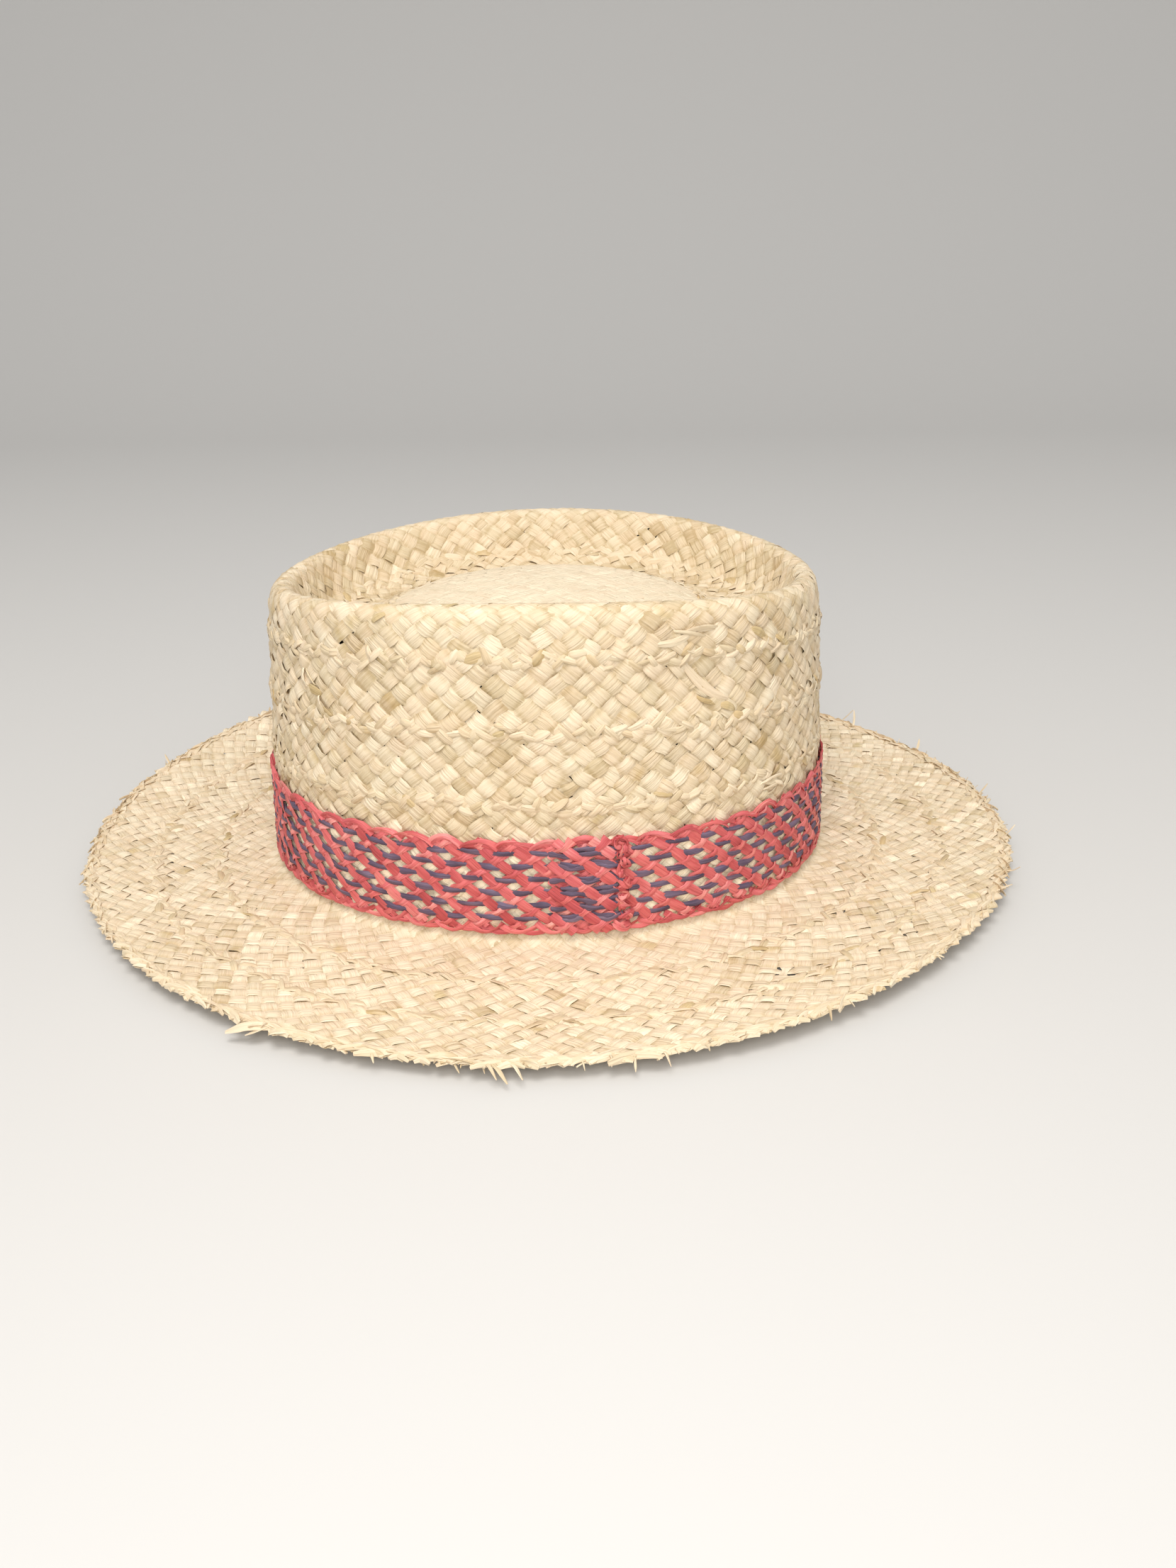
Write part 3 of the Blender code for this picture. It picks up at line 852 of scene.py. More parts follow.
def weaveRings(node, sheet, lengths, row, seed, straw):
    pile = newPile()
    for index, length in enumerate(lengths):
        crinkleRow(pile, sheet, length, row, seed + index)
    place(f"{node}_rings", pile, straw, [node], "straw")


def zoneList(stops, strips, seed, holes, whole, tight):
    # tight is the length at which the weave is drawn closest, as over the crown's rim
    spots = [(heading, share * whole, reach * mm, opened) for heading, share, reach, opened in holes]
    return [
        {"from": low, "to": high, "strips": count, "seed": seed + 10 * index, "holes": spots, "tight": tight}
        for index, (low, high, count) in enumerate(zip(stops, stops[1:], strips))
    ]


def weaveCrown(sheet, straw):
    wall, end = sheet["wallLength"], sheet["length"][-1]
    rings = [share * wall for share in crownZones["rings"]]
    zones = zoneList([0, *rings, end], crownZones["strips"], 100, wallHoles, wall, wall + crownZones["tight"])
    weaveZones("crown", sheet, zones, weaveLook, straw)
    rings += [end - inset for inset in crownZones["topRings"]]
    weaveRings("crown", sheet, rings, wallRow, 300, straw)


def weaveBrim(sheet, straw):
    end = sheet["length"][-1]
    rings = [share * end for share in brimZones["rings"]]
    zones = zoneList([0, *rings, end - brimZones["endInset"]], brimZones["strips"], 500, brimHoles, end, 0)
    weaveZones("brim", sheet, zones, brimLook, straw)
    weaveRings("brim", sheet, rings, brimRow, 700, straw)


tipLook = {
    "pitch": 4.3 * mm,
    "thickness": 0.36 * mm,
    "amplitude": 0.08 * mm,
    "steepness": 1.4,
    "depth": 0.70 * mm,
    "slope": 42,  # degrees from the hat's length
    "overlap": 1.0 * mm,
    "shortest": 3,  # pitches
    "wobble": 0.12 * mm,
    "cover": (1.05, 1.14),
    "tilt": 0.015,
    # The dome's straw is made paler: partly its own colour, partly painted light from above
    "tone": (2.3, 0.35),
    "toneSpread": 0.15,
}


def throughOval(way, off, halfLength, halfWidth):
    # Where a line that passes the middle at off enters and leaves the oval, as lengths along it
    a = (way[0] / halfLength) ** 2 + (way[1] / halfWidth) ** 2
    b = 2 * (way[0] * off[0] / halfLength**2 + way[1] * off[1] / halfWidth**2)
    c = (off[0] / halfLength) ** 2 + (off[1] / halfWidth) ** 2 - 1
    if b * b - 4 * a * c <= 0:
        return 0, 0
    root = math.sqrt(b * b - 4 * a * c)
    return (-b - root) / (2 * a), (-b + root) / (2 * a)


def weaveTip(dome, sheet, straw):
    # The flat-laid plait over the dome
    foot = sheet["points"][:, -1, :2]
    middle = foot.mean(axis=0)
    half = (foot.max(axis=0) - foot.min(axis=0)) / 2 + tipLook["overlap"]
    pitch = tipLook["pitch"]
    pile = newPile()
    reach = int(half[0] / pitch) + 2
    for lean in (1, -1):
        angle = math.radians(tipLook["slope"]) * lean
        way = np.array([math.cos(angle), math.sin(angle)])
        across = np.array([-way[1], way[0]])
        for index in range(-reach, reach + 1):
            rng = dice(11, index + reach, 5 + lean)
            off = across * (index + 0.5) * pitch
            low, high = throughOval(way, off, *half)
            if high - low < tipLook["shortest"] * pitch:
                continue
            at = np.arange(math.floor(low / pitch * 3), math.ceil(high / pitch * 3) + 1) / 3
            wobble = rng.normal(0, tipLook["wobble"])
            spots = middle + off + way * (at * pitch)[:, None] + across * wobble
            wave = np.clip(tipLook["steepness"] * np.cos(math.pi * (at + index)), -1, 1) * lean
            lift = -tipLook["depth"] + tipLook["amplitude"] * wave
            centres, normals = onDome(dome, spots[:, 0], spots[:, 1], lift)
            # Paler tone on the dome, partly painted light from above
            tone = rng.normal(*tipLook["tone"]) + rng.normal(0, tipLook["toneSpread"], len(at))
            halfWidth = pitch * 0.5 * rng.uniform(*tipLook["cover"])
            path = flatRails(centres, normals, halfWidth, rng.normal(0, tipLook["tilt"], len(at)))
            addRibbon(pile, path, tipLook["thickness"] / 2, 0.0, tone)
    place("crown_tip", pile, straw, ["crown"], "straw")


# The brim's raw edge, and the straws that stick out of it

edgeLook = {
    "spacing": 3.4 * mm,
    "layers": ((1.5, 0.66, -0.12), (0.45, 0.95, -1.15), (1.6, 1.60, 0.25)),  # inset and depth in mm, and roll
    "layerShift": 0.33,  # spacings
    "slope": (16, 9),
    "reach": 8.5 * mm,
    "reachRange": (0.7, 1.3),
    "scatter": 0.30 * mm,
    "height": 0.30 * mm,
    "tuck": 0.40 * mm,
    "rough": 0.05 * mm,
    "halfWidth": 1.35 * mm,
    "widthRange": (0.6, 1.15),
    "taper": 0.5,
    "halfThick": 0.24 * mm,
    "roll": 0.25,
    "crease": 0.11 * mm,
    "tone": (0.4, 0.7),
    "stain": (0, 0.42),
}
frayLook = {
    "count": 230,
    "reach": (1.0, 2.6),  # millimetres
    "long": (0.08, 1.8),  # share of them that are longer, and how much
    "sideShare": 0.75,  # share of that reach halfway between front and back
    "inset": 0.3 * mm,
    "halfWidth": (0.15, 0.45),  # millimetres
    "halfThick": 0.09 * mm,
    "aside": 0.8,  # how far they lean sideways, against their reach
    "sag": ((-0.9, 0.5), (-1.0, 1.2)),  # millimetres, and their spread, on the way and at the tip
    "twist": (0.5, 0.9),  # at the foot and at the tip
    "tone": (0, 1),
    "stain": (0, 0.5),
    "steps": 7,
}


def makeEdge(sheet, straw):
    pile = newPile()
    end = sheet["length"][-1]
    girth = girthAt(sheet, end)
    count = round(girth / edgeLook["spacing"])
    for level, (inset, depth, roll) in enumerate(edgeLook["layers"]):
        for index in range(count):
            rng = dice(21, level, index)
            at = index + edgeLook["layerShift"] * level
            side = 1 if (index + level) % 2 else -1
            turn, gone, lift, width = shortBit(
                rng, edgeLook, girth, count, at, end - inset * mm, side, depth * mm)
            centres, normals = onSheet(sheet, turn, gone, lift)
            path = flatRails(centres, normals, width, roll + rng.normal(0, edgeLook["roll"]))
            creases = rng.normal(0, edgeLook["crease"], (len(turn), 2))
            tone, stain = rng.normal(*edgeLook["tone"]), rng.uniform(*edgeLook["stain"])
            addRibbon(pile, path, edgeLook["halfThick"], creases, tone, stain)
    for index in range(frayLook["count"]):
        makeFray(pile, sheet, end - frayLook["inset"], dice(22, index))
    place("brim_edge", pile, straw, ["brim"], "straw")


def makeFray(pile, sheet, length, rng):
    share, longer = frayLook["long"]
    reach = rng.uniform(*frayLook["reach"]) * mm * (longer if rng.random() < share else 1.0)
    turn = rng.random()
    atSides = frayLook["sideShare"]
    reach = reach * (atSides + (1 - atSides) * math.cos(math.tau * turn))
    away = rng.normal(0, frayLook["aside"])
    path = [(0, -1.5 * mm, -0.8 * mm)]
    for part, sag in zip((0.3, 0.8), frayLook["sag"]):
        path.append((away * reach * part, part * reach, rng.normal(*sag) * mm))
    halfWidth = rng.uniform(*frayLook["halfWidth"]) * mm
    twist = [rng.normal(0, spread) for spread in frayLook["twist"]]
    tone, stain = rng.normal(*frayLook["tone"]), rng.uniform(*frayLook["stain"])
    freeStrip(pile, sheet, turn, length, path, halfWidth, frayLook["halfThick"], twist, tone, stain,
              frayLook["steps"])


# Degrees round; reach outward, sideways and up at the end, width and curl in millimetres; roll
strayStraws = [
    (-114.6, 4.6, -9.5, -4.0, 2.9, 0.6, 0.6),
    (-114.2, 3.2, -4.5, -3.6, 1.2, -0.3, 0.3),
    (-114.9, 2.0, -6.0, -2.6, 0.9, 0.2, -0.4),
    (-92.8, 4.0, 3.6, -3.5, 1.0, 1.0, 0.0),
    (-92.2, 4.5, 4.6, -4.4, 1.2, 0.6, 0.0),
    (-90.6, 3.5, 3.4, -3.8, 1.1, 0.9, 0.0),
    (-103.0, 3.0, 2.0, -2.2, 0.8, 0.4, 0.0),
    (-84.5, 2.0, 0.4, -2.6, 0.5, 0.2, 0.0),
    (-82.0, 1.8, -0.3, -2.4, 0.5, 0.3, 0.0),
    (-80.0, 2.6, -0.4, -4.2, 0.7, -0.4, 0.0),
    (-77.5, 2.8, 1.4, -4.0, 0.7, 1.2, 0.0),
    (-45.0, 3.0, 1.0, -1.2, 0.8, 0.4, 0.0),
    (-26.0, 4.5, 2.0, 0.5, 1.0, 0.5, 0.0),
    (-20.0, 5.0, -1.6, 1.2, 1.1, -0.4, 0.0),
    (-9.0, 4.0, 2.4, 2.2, 1.0, 0.6, 0.0),
    (6.0, 4.5, 3.0, 1.4, 1.2, 0.5, 0.0),
    (25.0, 5.0, 4.0, 2.0, 1.1, -0.5, 0.0),
    (39.0, 5.5, 5.0, 3.5, 1.0, 0.7, 0.0),
    (41.5, 4.5, -3.0, 4.5, 0.9, 0.4, 0.0),
    (118.0, 3.5, 2.0, 1.2, 0.9, 0.3, 0.0),
    (163.0, 4.0, -2.5, 1.0, 1.0, 0.5, 0.0),
]
strayLook = {
    "foot": 4 * mm,
    "halfThick": 0.14 * mm,
    "twist": (0.15, 0.3),
    "tone": (0.4, 0.6),
    "stain": (0, 0.3),
}


def makeStrays(brimSheet, straw):
    pile = newPile()
    end = brimSheet["length"][-1]
    for index, (heading, *reaches, width, curl, roll) in enumerate(strayStraws):
        rng = dice(31, index)
        out, side, up = (reach * mm for reach in reaches)
        path = [(-side * 0.5, -strayLook["foot"], -1.3 * mm), (-side * 0.1, -0.6 * mm, -0.9 * mm),
                (side * 0.4, out * 0.5, up * 0.35 + curl * mm - 0.5 * mm), (side, out, up)]
        twist = roll + rng.normal(0, strayLook["twist"])
        tone, stain = rng.normal(*strayLook["tone"]), rng.uniform(*strayLook["stain"])
        freeStrip(pile, brimSheet, heading / 360, end, path, width / 2 * mm, strayLook["halfThick"],
                  twist, tone, stain)
    place("stray_straws", pile, straw, (), "straw")


# Loose and stained bits on the crown: degrees round and share of the wall's height where each starts
# and ends, bow and rise in the middle and width in millimetres, stain, tone
looseStraws = [
    (-61.9, 0.858, -52.4, 0.728, -2.2, 0.9, 3.2, 0.25, 0.3),
    (-60.2, 0.815, -54.0, 0.742, -1.5, 0.7, 1.1, 0.9, -1.6),
    (-59.4, 0.750, -55.4, 0.724, -0.6, 0.9, 1.5, 1.0, -1.2),
    (-58.4, 0.738, -54.6, 0.716, -0.4, 0.7, 1.0, 0.8, -0.6),
    (-54.5, 0.715, -51.0, 0.690, 0.3, 0.8, 2.6, 0.7, -0.4),
    (-67.5, 0.925, -60.0, 0.955, -1.0, 0.75, 2.3, 0.0, 0.6),
    (-62.5, 0.950, -54.5, 0.962, 1.0, 0.8, 2.2, 0.0, 0.4),
    (-64.0, 0.962, -57.0, 0.935, 0.5, 0.9, 1.3, 0.2, 0.2),
    (-62.4, 0.885, -59.8, 0.925, 0.2, 0.8, 2.2, 0.6, -0.2),
    (-46.9, 0.948, -43.0, 0.908, 0.6, 1.0, 2.6, 0.9, -0.3),
    (-44.0, 0.925, -39.5, 0.880, -0.5, 0.9, 2.8, 0.5, 0.0),
    (-45.6, 0.394, -36.8, 0.404, 1.4, 1.3, 1.3, 0.0, 1.6),
    (-43.8, 0.374, -38.0, 0.372, 0.9, 1.4, 1.2, 0.2, 1.0),
    (-41.0, 0.396, -36.4, 0.352, 0.8, 1.5, 1.6, 0.0, 1.3),
    (-37.4, 0.346, -35.0, 0.392, -0.4, 1.0, 1.9, 0.1, 0.9),
    (-42.5, 0.352, -39.0, 0.378, -0.6, 1.1, 1.0, 0.3, 0.2),
    (-137.4, 0.828, -136.6, 0.760, -0.6, 1.4, 1.8, 0.0, 2.2),
    (-136.5, 0.822, -133.3, 0.764, 0.5, 1.1, 0.8, 0.5, 0.4),
    (-136.2, 0.758, -131.8, 0.742, 0.4, 0.9, 3.0, 1.0, -1.2),
    (-132.5, 0.740, -132.0, 0.700, 0.3, 1.0, 1.0, 0.0, 2.0),
    (-131.5, 0.700, -128.6, 0.672, 0.3, 0.8, 2.0, 0.9, -0.4),
    (-117.9, 0.996, -115.0, 1.028, 0.4, 1.0, 2.0, 1.0, -0.6),
    (166.5, 1.315, 163.0, 1.262, 0.4, 1.0, 2.6, 0.9, -0.5),
    (-96.0, 0.652, -93.6, 0.668, 0.2, 1.0, 1.8, 1.0, -0.9),
]
looseLook = {
    "seat": -0.75,  # millimetres over the crown's outside
    "rough": 0.04 * mm,
    "roll": 0.2,
    "droop": 0.1 * mm,
    "halfThick": 0.17 * mm,
    "crease": 0.10 * mm,
}


def makeLooseStraws(sheet, straw):
    pile = newPile()
    wall = sheet["wallLength"]
    share = np.linspace(0, 1, 13)
    arch = np.sin(math.pi * share)
    for index, (*ends, bow, rise, width, stain, tone) in enumerate(looseStraws):
        rng = dice(35, index)
        turn = np.interp(share, [0, 1], [ends[0] / 360, ends[2] / 360])
        gone = np.interp(share, [0, 1], [ends[1] * wall, ends[3] * wall]) + bow * mm * arch
        lift = (looseLook["seat"] + rise * arch**0.6) * mm + rng.normal(0, looseLook["rough"], len(share))
        widths = width / 2 * mm * (0.45 + 0.55 * arch**0.7)
        roll = rng.normal(0, looseLook["roll"])
        path = bentRails(sheet, turn, gone, lift, widths, roll, looseLook["droop"])
        creases = rng.normal(0, looseLook["crease"], (len(share), 2))
        addRibbon(pile, path, looseLook["halfThick"], creases, tone, stain)
    place("loose_straws", pile, straw, ["crown"], "straw")


# The band: leaning red strips, navy strands along it, and folded red edges

bandLook = {
    "columns": 58,
    "rowStep": 4.65 * mm,
    "navyRows": 6,
    "seat": 0.8 * mm,  # of its middle over the crown's outside
    "wide": {"halfWidth": 1.66 * mm, "lift": 0.12 * mm, "wave": -0.07 * mm, "pinch": 0.07, "tone": 0.15},
    "narrow": {"halfWidth": 1.30 * mm, "lift": 0.02 * mm, "wave": 0.55 * mm, "pinch": 0.40, "tone": 1.5},
    "widthSpread": 0.10,
    "halfThick": 0.16 * mm,
    "tilt": 0.12,
    "crease": 0.09 * mm,
    "stripTone": 0.5,
    "rowTone": 0.6,
    "droop": 0.05 * mm,
    "sway": 0.55 * mm,
    "drift": 0.35 * mm,
    "scatter": 0.25 * mm,
}
strandLook = {
    "lift": -0.14 * mm,
    "wave": 0.36 * mm,
    "halfWidth": 0.96 * mm,
    "widthSpread": 0.16,
    "halfThick": 0.42 * mm,
    "thickSpread": 0.1,
    "twist": 0.35,
    "crease": 0.13 * mm,
    "tone": 0.8,
    "perColumn": 8,
    "pieces": 4,  # each strand goes round in this many ribbons, end to end
}


def bandFirstRow(sheet):
    # Height of the lowest crossing of red strips over the band's foot
    return (sheet["length"][-1] - bandLook["navyRows"] * bandLook["rowStep"]) / 2


def redStrip(pile, sheet, rng, at, turn, gone, lean, raised=0.0):
    # The narrow strips rise to the right, lean 1, and tie down the wide ones, which rise to the left
    kind = bandLook["narrow" if lean > 0 else "wide"]
    knots = int(at[-1]) + 5
    width = wander(rng, at, knots, bandLook["widthSpread"], 1) * kind["halfWidth"]
    width = width * (1 - kind["pinch"] * np.cos(math.tau * at))
    tilt = wander(rng, at, knots, bandLook["tilt"])
    creases = twoFolds(rng, at, knots, bandLook["crease"])
    tone = kind["tone"] + rng.normal(0, bandLook["stripTone"]) + wander(rng, at, knots, bandLook["rowTone"])
    lift = bandLook["seat"] + kind["lift"] + kind["wave"] * np.cos(math.tau * at) + raised
    path = bentRails(sheet, turn, gone, lift, width, tilt, bandLook["droop"])
    addRibbon(pile, path, bandLook["halfThick"], creases, tone)


def bandSway(sheet, turn, gone):
    girth = girthAt(sheet, gone)
    turn = turn + swell(43, turn, gone, fineness=2) * bandLook["sway"] / girth
    return turn, gone + swell(44, turn, gone, fineness=2) * bandLook["drift"]


def strandWave(column, row):
    # Navy strands rise and dip once a column, half a column further on in the next row
    return strandLook["wave"] * np.cos(math.tau * (column - row / 2 - 0.25))


def weaveBand(sheet, red, navy):
    count, rows = bandLook["columns"], bandLook["navyRows"]
    base, step = bandFirstRow(sheet), bandLook["rowStep"]
    at = np.arange(-2, rows * 6 + 3) / 6
    for lean, name in ((1, "band_strips_right"), (-1, "band_strips_left")):
        pile = newPile()
        for index in range(count):
            rng = dice(41, index, 5 + lean)
            turn = (index + lean * at / 2) / count + rng.normal(0, bandLook["scatter"]) / sheet["girth"][0]
            turn, gone = bandSway(sheet, turn, base + at * step)
            redStrip(pile, sheet, rng, at, turn, gone, lean)
        place(name, pile, red, ["hat_band"], "red_straw")
    pile = newPile()
    for row in range(rows):
        layStrand(pile, sheet, row, base + (row + 0.5) * step)
    place("band_strands", pile, navy, ["hat_band"], "red_straw")


def layStrand(pile, sheet, row, height):
    look, count = strandLook, bandLook["columns"]
    at = np.arange(0, count * look["perColumn"] + 1) / look["perColumn"]
    turn, gone = bandSway(sheet, at / count, height + 0 * at)
    lift = bandLook["seat"] + look["lift"] + strandWave(at, row)
    width = look["halfWidth"] * (1 + look["widthSpread"] * swell(60 + row, turn, gone, fineness=8))
    twist = look["twist"] * np.sin(math.pi * at + swell(70 + row, turn, gone) * 2)
    thick = look["halfThick"] * (1 + look["thickSpread"] * swell(80 + row, turn, gone, fineness=5))
    folds = [swell(90 + row + 9 * k, turn, gone, fineness=8) * look["crease"] for k in range(2)]
    creases = np.stack(folds, -1)
    tone = swell(100 + row, turn, gone, fineness=5) * look["tone"]
    path = bentRails(sheet, turn, gone, lift, width, twist)
    each = count * look["perColumn"] // look["pieces"]
    for piece in range(look["pieces"]):
        span = slice(piece * each, (piece + 1) * each + 1)
        addRibbon(pile, [part[span] for part in path], thick[span], creases[span], tone[span])


bandEdge = {
    "halfWidth": 1.20 * mm,
    "widthRange": (0.75, 1.15),
    "waist": 0.35,  # share of its width that a fold loses in the middle
    "span": 1.12,  # columns that one fold reaches over
    "spanRange": (0.9, 1.15),
    "rise": (3.8 * mm, 2.8 * mm),  # of the two plies' arches
    "riseRange": (0.75, 1.1),
    "inset": (0.8 * mm, 1.7 * mm),  # of their tops from the band's edge
    "scatter": 0.22 * mm,
    "roll": ((-0.5, 0.2), (0.9, 0.3)),  # at the two ends, and its spread
    "steps": 11,
    "bow": 0.5 * mm,
    "under": 0.25 * mm,  # how much lower the second ply lies
    "halfThick": 0.22 * mm,
    "crease": 0.11 * mm,
}


def makeBandEdges(sheet, red):
    # Each strip folds over at the edge in a low arch and goes down into the next ones
    pile = newPile()
    for top in (1, 0):
        for index in range(bandLook["columns"]):
            for ply in (0, 1):
                addFold(pile, sheet, top, index, ply)
    place("band_edges", pile, red, ["hat_band"], "red_straw")


def addFold(pile, sheet, top, index, ply):
    rng = dice(51, top, index, ply)
    share = np.linspace(0, 1, bandEdge["steps"])
    arch = np.sin(math.pi * share) ** 0.85
    span = bandEdge["span"] * rng.uniform(*bandEdge["spanRange"])
    way = 1 if ply == 0 else -1
    shift = 0.5 * ply * (1 - 0.8 * top)
    turn = (index + shift + rng.normal(0, 0.07) + way * (share - 0.5) * span) / bandLook["columns"]
    rise = bandEdge["rise"][ply] * rng.uniform(*bandEdge["riseRange"])
    inset = bandEdge["inset"][ply if top else 0] + rise * (1 - arch) + rng.normal(0, bandEdge["scatter"])
    inset = inset + (swell(45, turn, 0, fineness=3) + 0.4) * 0.5 * mm * top
    gone = sheet["length"][-1] - inset if top else inset * 0.8
    bow = bandEdge["bow"] * np.sin(math.pi * (share * 1.5 - 0.25))
    centres, normals = onSheet(sheet, turn, gone, bandLook["seat"] + bow - bandEdge["under"] * ply)
    width = bandEdge["halfWidth"] * rng.uniform(*bandEdge["widthRange"])
    waist = bandEdge["waist"] * np.sin(math.pi * share) ** 2
    width = width * (1 - waist + rng.normal(0, 0.06, len(share)))
    start, end = (rng.normal(*roll) for roll in bandEdge["roll"])
    turned = np.linspace(start, end, len(share)) * (1 if top else -1)
    creases = rng.normal(0, bandEdge["crease"], (len(share), 2))
    tone = rng.normal(0, 0.7) + 0.5 * np.sin(math.pi * share)
    addRibbon(pile, flatRails(centres, normals, width, turned), bandEdge["halfThick"], creases, tone)


joinLook = {
    "from": -87.0,  # degrees round, as is the end
    "to": -73.0,
    "lift": 1.2 * mm,
    "startDrop": 0.8 * mm,  # how much lower the lap starts
    "startFade": 3,  # degrees
    "endGap": 2.0,  # degrees from the lattice to the bunched edge
    "shift": 0.42,  # columns
    "strandHalfThick": 0.38 * mm,
    "strandTone": 0.6,
}
knotLook = {
    "count": 9,
    "loops": 6,  # short bent strips in each knot
    "inset": 1.2,  # degrees
    "margin": 0.7 * mm,  # from the band's two edges
    "scatter": 0.5 * mm,
    "reach": (1.3, 3.0),  # millimetres, as are the lift and half width
    "bow": 0.8 * mm,
    "lift": (0.9, 1.9),
    "arch": 0.5 * mm,
    "tuck": 0.9 * mm,
    "halfWidth": (0.45, 1.0),
    "roll": (0.5, 0.9),
    "crease": 0.12 * mm,
    "tone": (0.5, 1.0),
}


def joinDrop(turn):
    # How much lower the lap lies near its start
    fade = smoothStep((turn - joinLook["from"] / 360) * 360 / joinLook["startFade"])
    return (1 - fade) * joinLook["startDrop"]


def makeJoin(sheet, red, navy):
    pile = newPile()
    addLap(pile, sheet)
    addKnots(pile, sheet)
    place("band_join_strips", pile, red, ["band_join"], "red_straw")
    pile = newPile()
    addLapStrands(pile, sheet)
    place("band_join_strands", pile, navy, ["band_join"], "red_straw")


def addLap(pile, sheet):
    # The lapped end's second layer of red strips
    base = bandFirstRow(sheet)
    start, end = joinLook["from"] / 360, joinLook["to"] / 360
    full = np.arange(-3, bandLook["navyRows"] * 6 + 4) / 6
    for lean in (1, -1):
        for index in range(-20, 2):
            rng = dice(61, index + 40, 5 + lean)
            turn = (index + joinLook["shift"] + lean * full / 2) / bandLook["columns"]
            inside = (turn > start) & (turn < end - joinLook["endGap"] / 360)
            if inside.sum() < 5:
                continue
            low, high = np.argmax(inside), len(inside) - np.argmax(inside[::-1])
            at, turn = full[low:high], turn[low:high]
            raised = joinLook["lift"] - joinDrop(turn)
            redStrip(pile, sheet, rng, at, turn, base + at * bandLook["rowStep"], lean, raised)


def addKnots(pile, sheet):
    # Short bent strips that wrap round the bunched edge
    rng = dice(62)
    girth, height = sheet["girth"][10], sheet["length"][-1]
    share = np.linspace(-1, 1, 9)
    scatter = knotLook["scatter"]
    for knot in range(knotLook["count"]):
        middle = (knot + 0.5) / knotLook["count"] * height
        knotTurn = joinLook["to"] / 360 - knotLook["inset"] / 360 + rng.normal(0, scatter) / girth
        for _ in range(knotLook["loops"]):
            angle = rng.uniform(0.2, 2.9)
            reach = rng.uniform(*knotLook["reach"]) * mm
            bow = rng.normal(0, knotLook["bow"])
            across = reach * share * math.cos(angle) - bow * (1 - share**2) * math.sin(angle)
            up = reach * share * math.sin(angle) + bow * (1 - share**2) * math.cos(angle)
            turn = knotTurn + (across + rng.normal(0, scatter)) / girth
            gone = middle + up + rng.normal(0, scatter)
            gone = np.clip(gone, knotLook["margin"], height - knotLook["margin"])
            lift = bandLook["seat"] + rng.uniform(*knotLook["lift"]) * mm
            lift = lift + knotLook["arch"] * (1 - share**2) - knotLook["tuck"] * share**4
            centres, normals = onSheet(sheet, turn, gone, lift)
            turned = np.linspace(*(rng.normal(0, spread) for spread in knotLook["roll"]), len(share))
            path = flatRails(centres, normals, rng.uniform(*knotLook["halfWidth"]) * mm, turned)
            creases = rng.normal(0, knotLook["crease"], (len(share), 2))
            addRibbon(pile, path, bandLook["halfThick"], creases, rng.normal(*knotLook["tone"]))


def addLapStrands(pile, sheet):
    # The navy strands of the lapped end, two to a row
    count, step, base = bandLook["columns"], bandLook["rowStep"], bandFirstRow(sheet)
    start, end = joinLook["from"] / 360, joinLook["to"] / 360
    for row in range(bandLook["navyRows"]):
        for ply in (0, 1):
            rng = dice(63, row, ply)
            turn = np.linspace(start + ply * 2.0 / 360, end - (1.0 + ply) / 360, 34)
            gone = base + (row + 0.5 + 0.25 * ply) * step + rng.normal(0, 0.3 * mm)
            gone = gone + 0.5 * mm * np.sin(turn * 300 + row)
            wave = strandWave(turn * count - joinLook["shift"], row)
            lift = bandLook["seat"] + strandLook["lift"] + joinLook["lift"] + wave - joinDrop(turn)
            width = strandLook["halfWidth"] * (0.9 + 0.12 * np.sin(turn * 900 + row))
            path = bentRails(sheet, turn, gone, lift - 0.2 * mm * ply, width, 0.3 * np.sin(turn * 700))
            addRibbon(pile, path, joinLook["strandHalfThick"], 0.0, rng.normal(0, joinLook["strandTone"]))


# Floor, light and camera

cameraPose = {
    "place": (0.0290, -0.4170, 0.2083),
    "turn": -0.0331,  # to the left of straight ahead, in radians
    "pitch": 0.4281,  # downwards
    "roll": -0.0193,
    "lens": 27.57,
}


def makeCamera():
    turn, pitch, roll = cameraPose["turn"], cameraPose["pitch"], cameraPose["roll"]
    c, s = math.cos(turn), math.sin(turn)
    forward = Vector((s * math.cos(pitch), c * math.cos(pitch), -math.sin(pitch)))
    right = Vector((c, -s, 0))
    up = Vector((s * math.sin(pitch), c * math.sin(pitch), math.cos(pitch)))
    leaned = math.cos(roll) * right + math.sin(roll) * up
    upright = -math.sin(roll) * right + math.cos(roll) * up
    camera = addObject("camera", bpy.data.cameras.new("camera"))
    camera.data.lens = cameraPose["lens"]
    camera.data.sensor_width = 36
    camera.data.clip_start = 0.01
    camera.matrix_world = Matrix.Translation(cameraPose["place"]) @ Matrix(
        (leaned, upright, -forward)).transposed().to_4x4()
    bpy.context.scene.camera = camera


studio = {
    "floor": (0.58, 0.575, 0.565),
    "floorRoughness": 0.85,
    "floorHalfWidth": 6.0,
    "floorFront": -7.0,
    "bendStart": 1.0,  # where the floor starts to curve up behind the hat
    "bendRadius": 0.8,
    "backHeight": 3.0,
    "world": (1.0, 0.985, 0.965),
    "worldStrength": 0.735,
    "lights": {  # place, size, power
        "key": ((-0.04, -0.60, 1.35), 0.7, 12.6),
        "front": ((0.03, -0.52, 0.34), 0.25, 1.12),
    },
    "lightColour": (1.0, 0.965, 0.92),
    "lightTarget": (0, 0, 0.03),
}


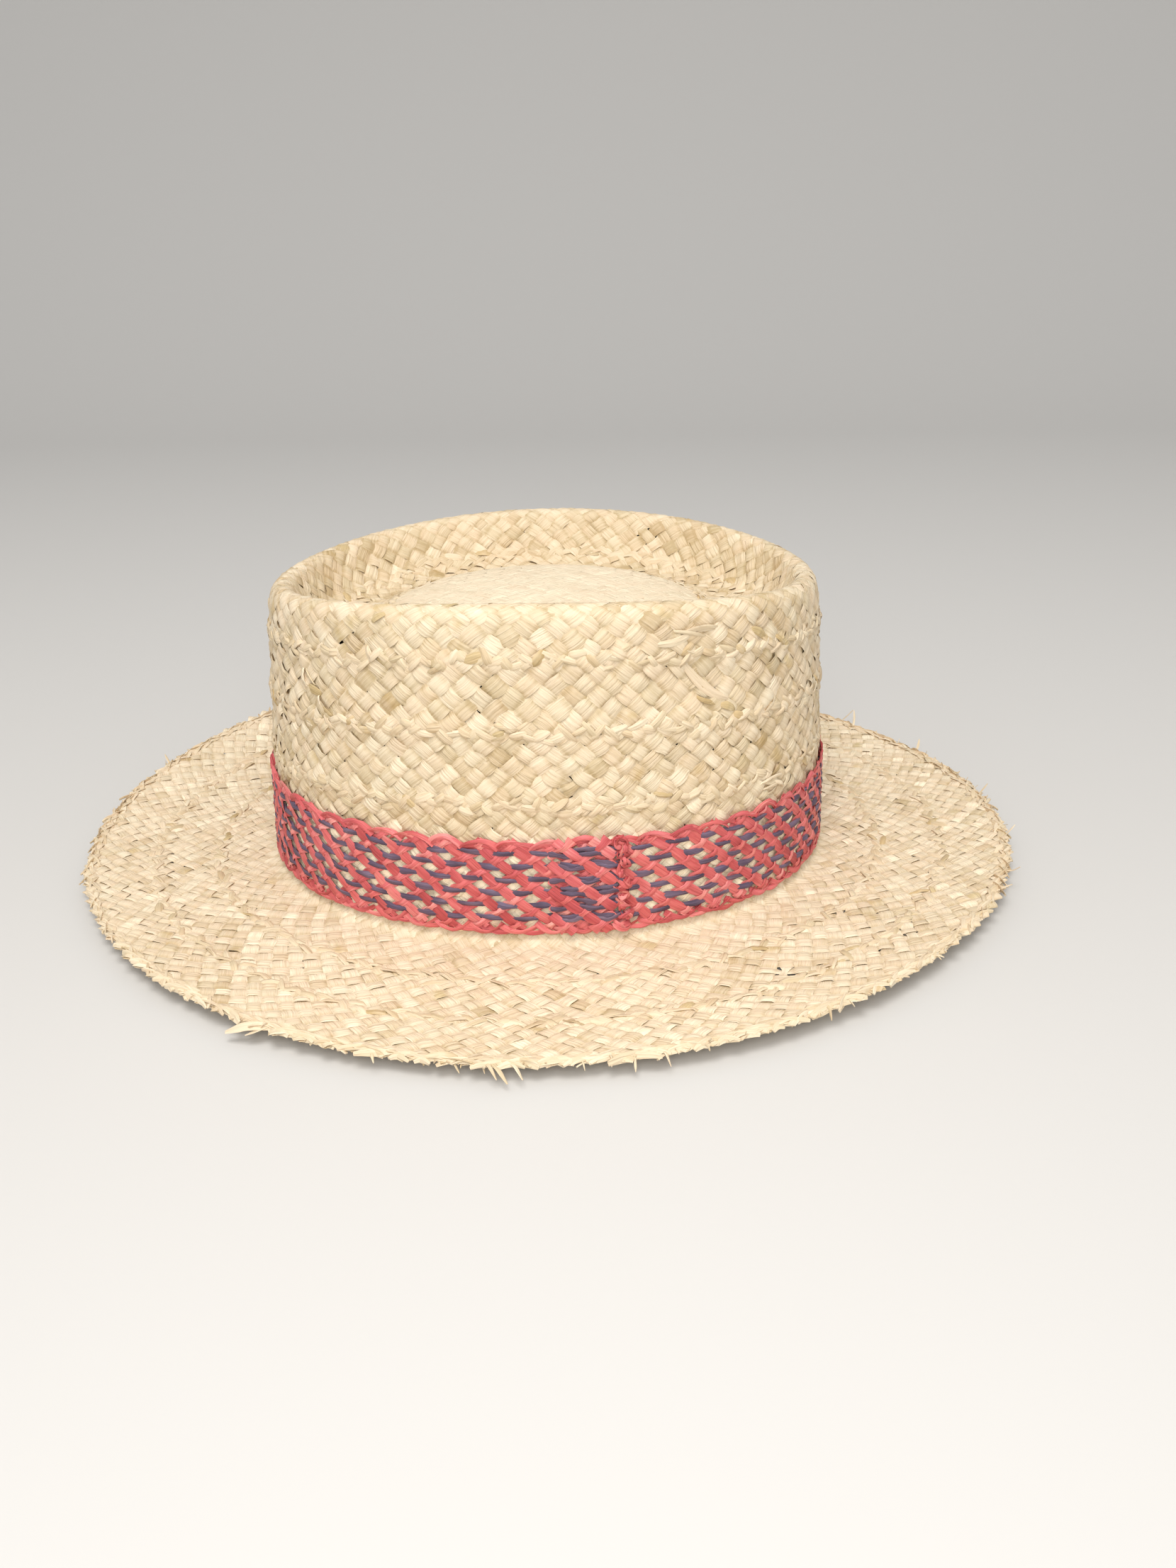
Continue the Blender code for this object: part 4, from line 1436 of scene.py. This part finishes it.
def makeLight(name, spot, size, power, colour):
    lamp = bpy.data.lights.new(name, "AREA")
    lamp.shape = "DISK"
    lamp.size = size
    lamp.energy = power
    lamp.color = colour
    made = addObject(name, lamp)
    made.location = spot
    aim = Vector(studio["lightTarget"]) - Vector(spot)
    made.rotation_euler = aim.to_track_quat("-Z", "Y").to_euler()


def makeStudio():
    finish, tree, shader, add = nodeMaker("pale floor")
    shader.inputs["Base Color"].default_value = (*studio["floor"], 1)
    shader.inputs["Roughness"].default_value = studio["floorRoughness"]
    start, bend, half = studio["bendStart"], studio["bendRadius"], studio["floorHalfWidth"]
    profile = [(studio["floorFront"], 0.0), (start, 0.0)]
    for angle in np.linspace(0.1, math.pi / 2, 14):
        profile.append((start + bend * math.sin(angle), bend - bend * math.cos(angle)))
    profile.append((start + bend, studio["backHeight"]))
    points = [(x, y, z) for y, z in profile for x in (-half, half)]
    faces = [(2 * k, 2 * k + 1, 2 * k + 3, 2 * k + 2) for k in range(len(profile) - 1)]
    mesh = bpy.data.meshes.new("studio_floor")
    mesh.from_pydata(points, [], faces)
    mesh.shade_smooth()
    mesh.materials.append(finish)
    floor = addObject("studio_floor", mesh)
    world = bpy.data.worlds.new("studio")
    world.use_nodes = True
    world.node_tree.nodes["Background"].inputs["Color"].default_value = (*studio["world"], 1)
    world.node_tree.nodes["Background"].inputs["Strength"].default_value = studio["worldStrength"]
    bpy.context.scene.world = world
    for name, (spot, size, power) in studio["lights"].items():
        makeLight(name, spot, size, power, studio["lightColour"])
    bpy.context.scene.view_settings.view_transform = "Standard"


def main():
    makeCamera()
    makeStudio()
    print("Studio ready")
    crownSheet = readCrown()
    brimSheet = readBrim(crownSheet)
    bandSheet = readBand(crownSheet)
    dome = readDome(crownSheet)
    print("Forms read")
    straw = makeStrip("natural straw", strawLook)
    red = makeStrip("red straw", redLook)
    navy = makeStrip("navy straw", navyLook)
    weaveCrown(crownSheet, straw)
    weaveTip(dome, crownSheet, straw)
    print("Crown woven")
    weaveBrim(brimSheet, straw)
    makeEdge(brimSheet, straw)
    makeStrays(brimSheet, straw)
    makeLooseStraws(crownSheet, straw)
    print("Brim woven")
    weaveBand(bandSheet, red, navy)
    makeBandEdges(bandSheet, red)
    makeJoin(bandSheet, red, navy)
    print("Band woven")


main()
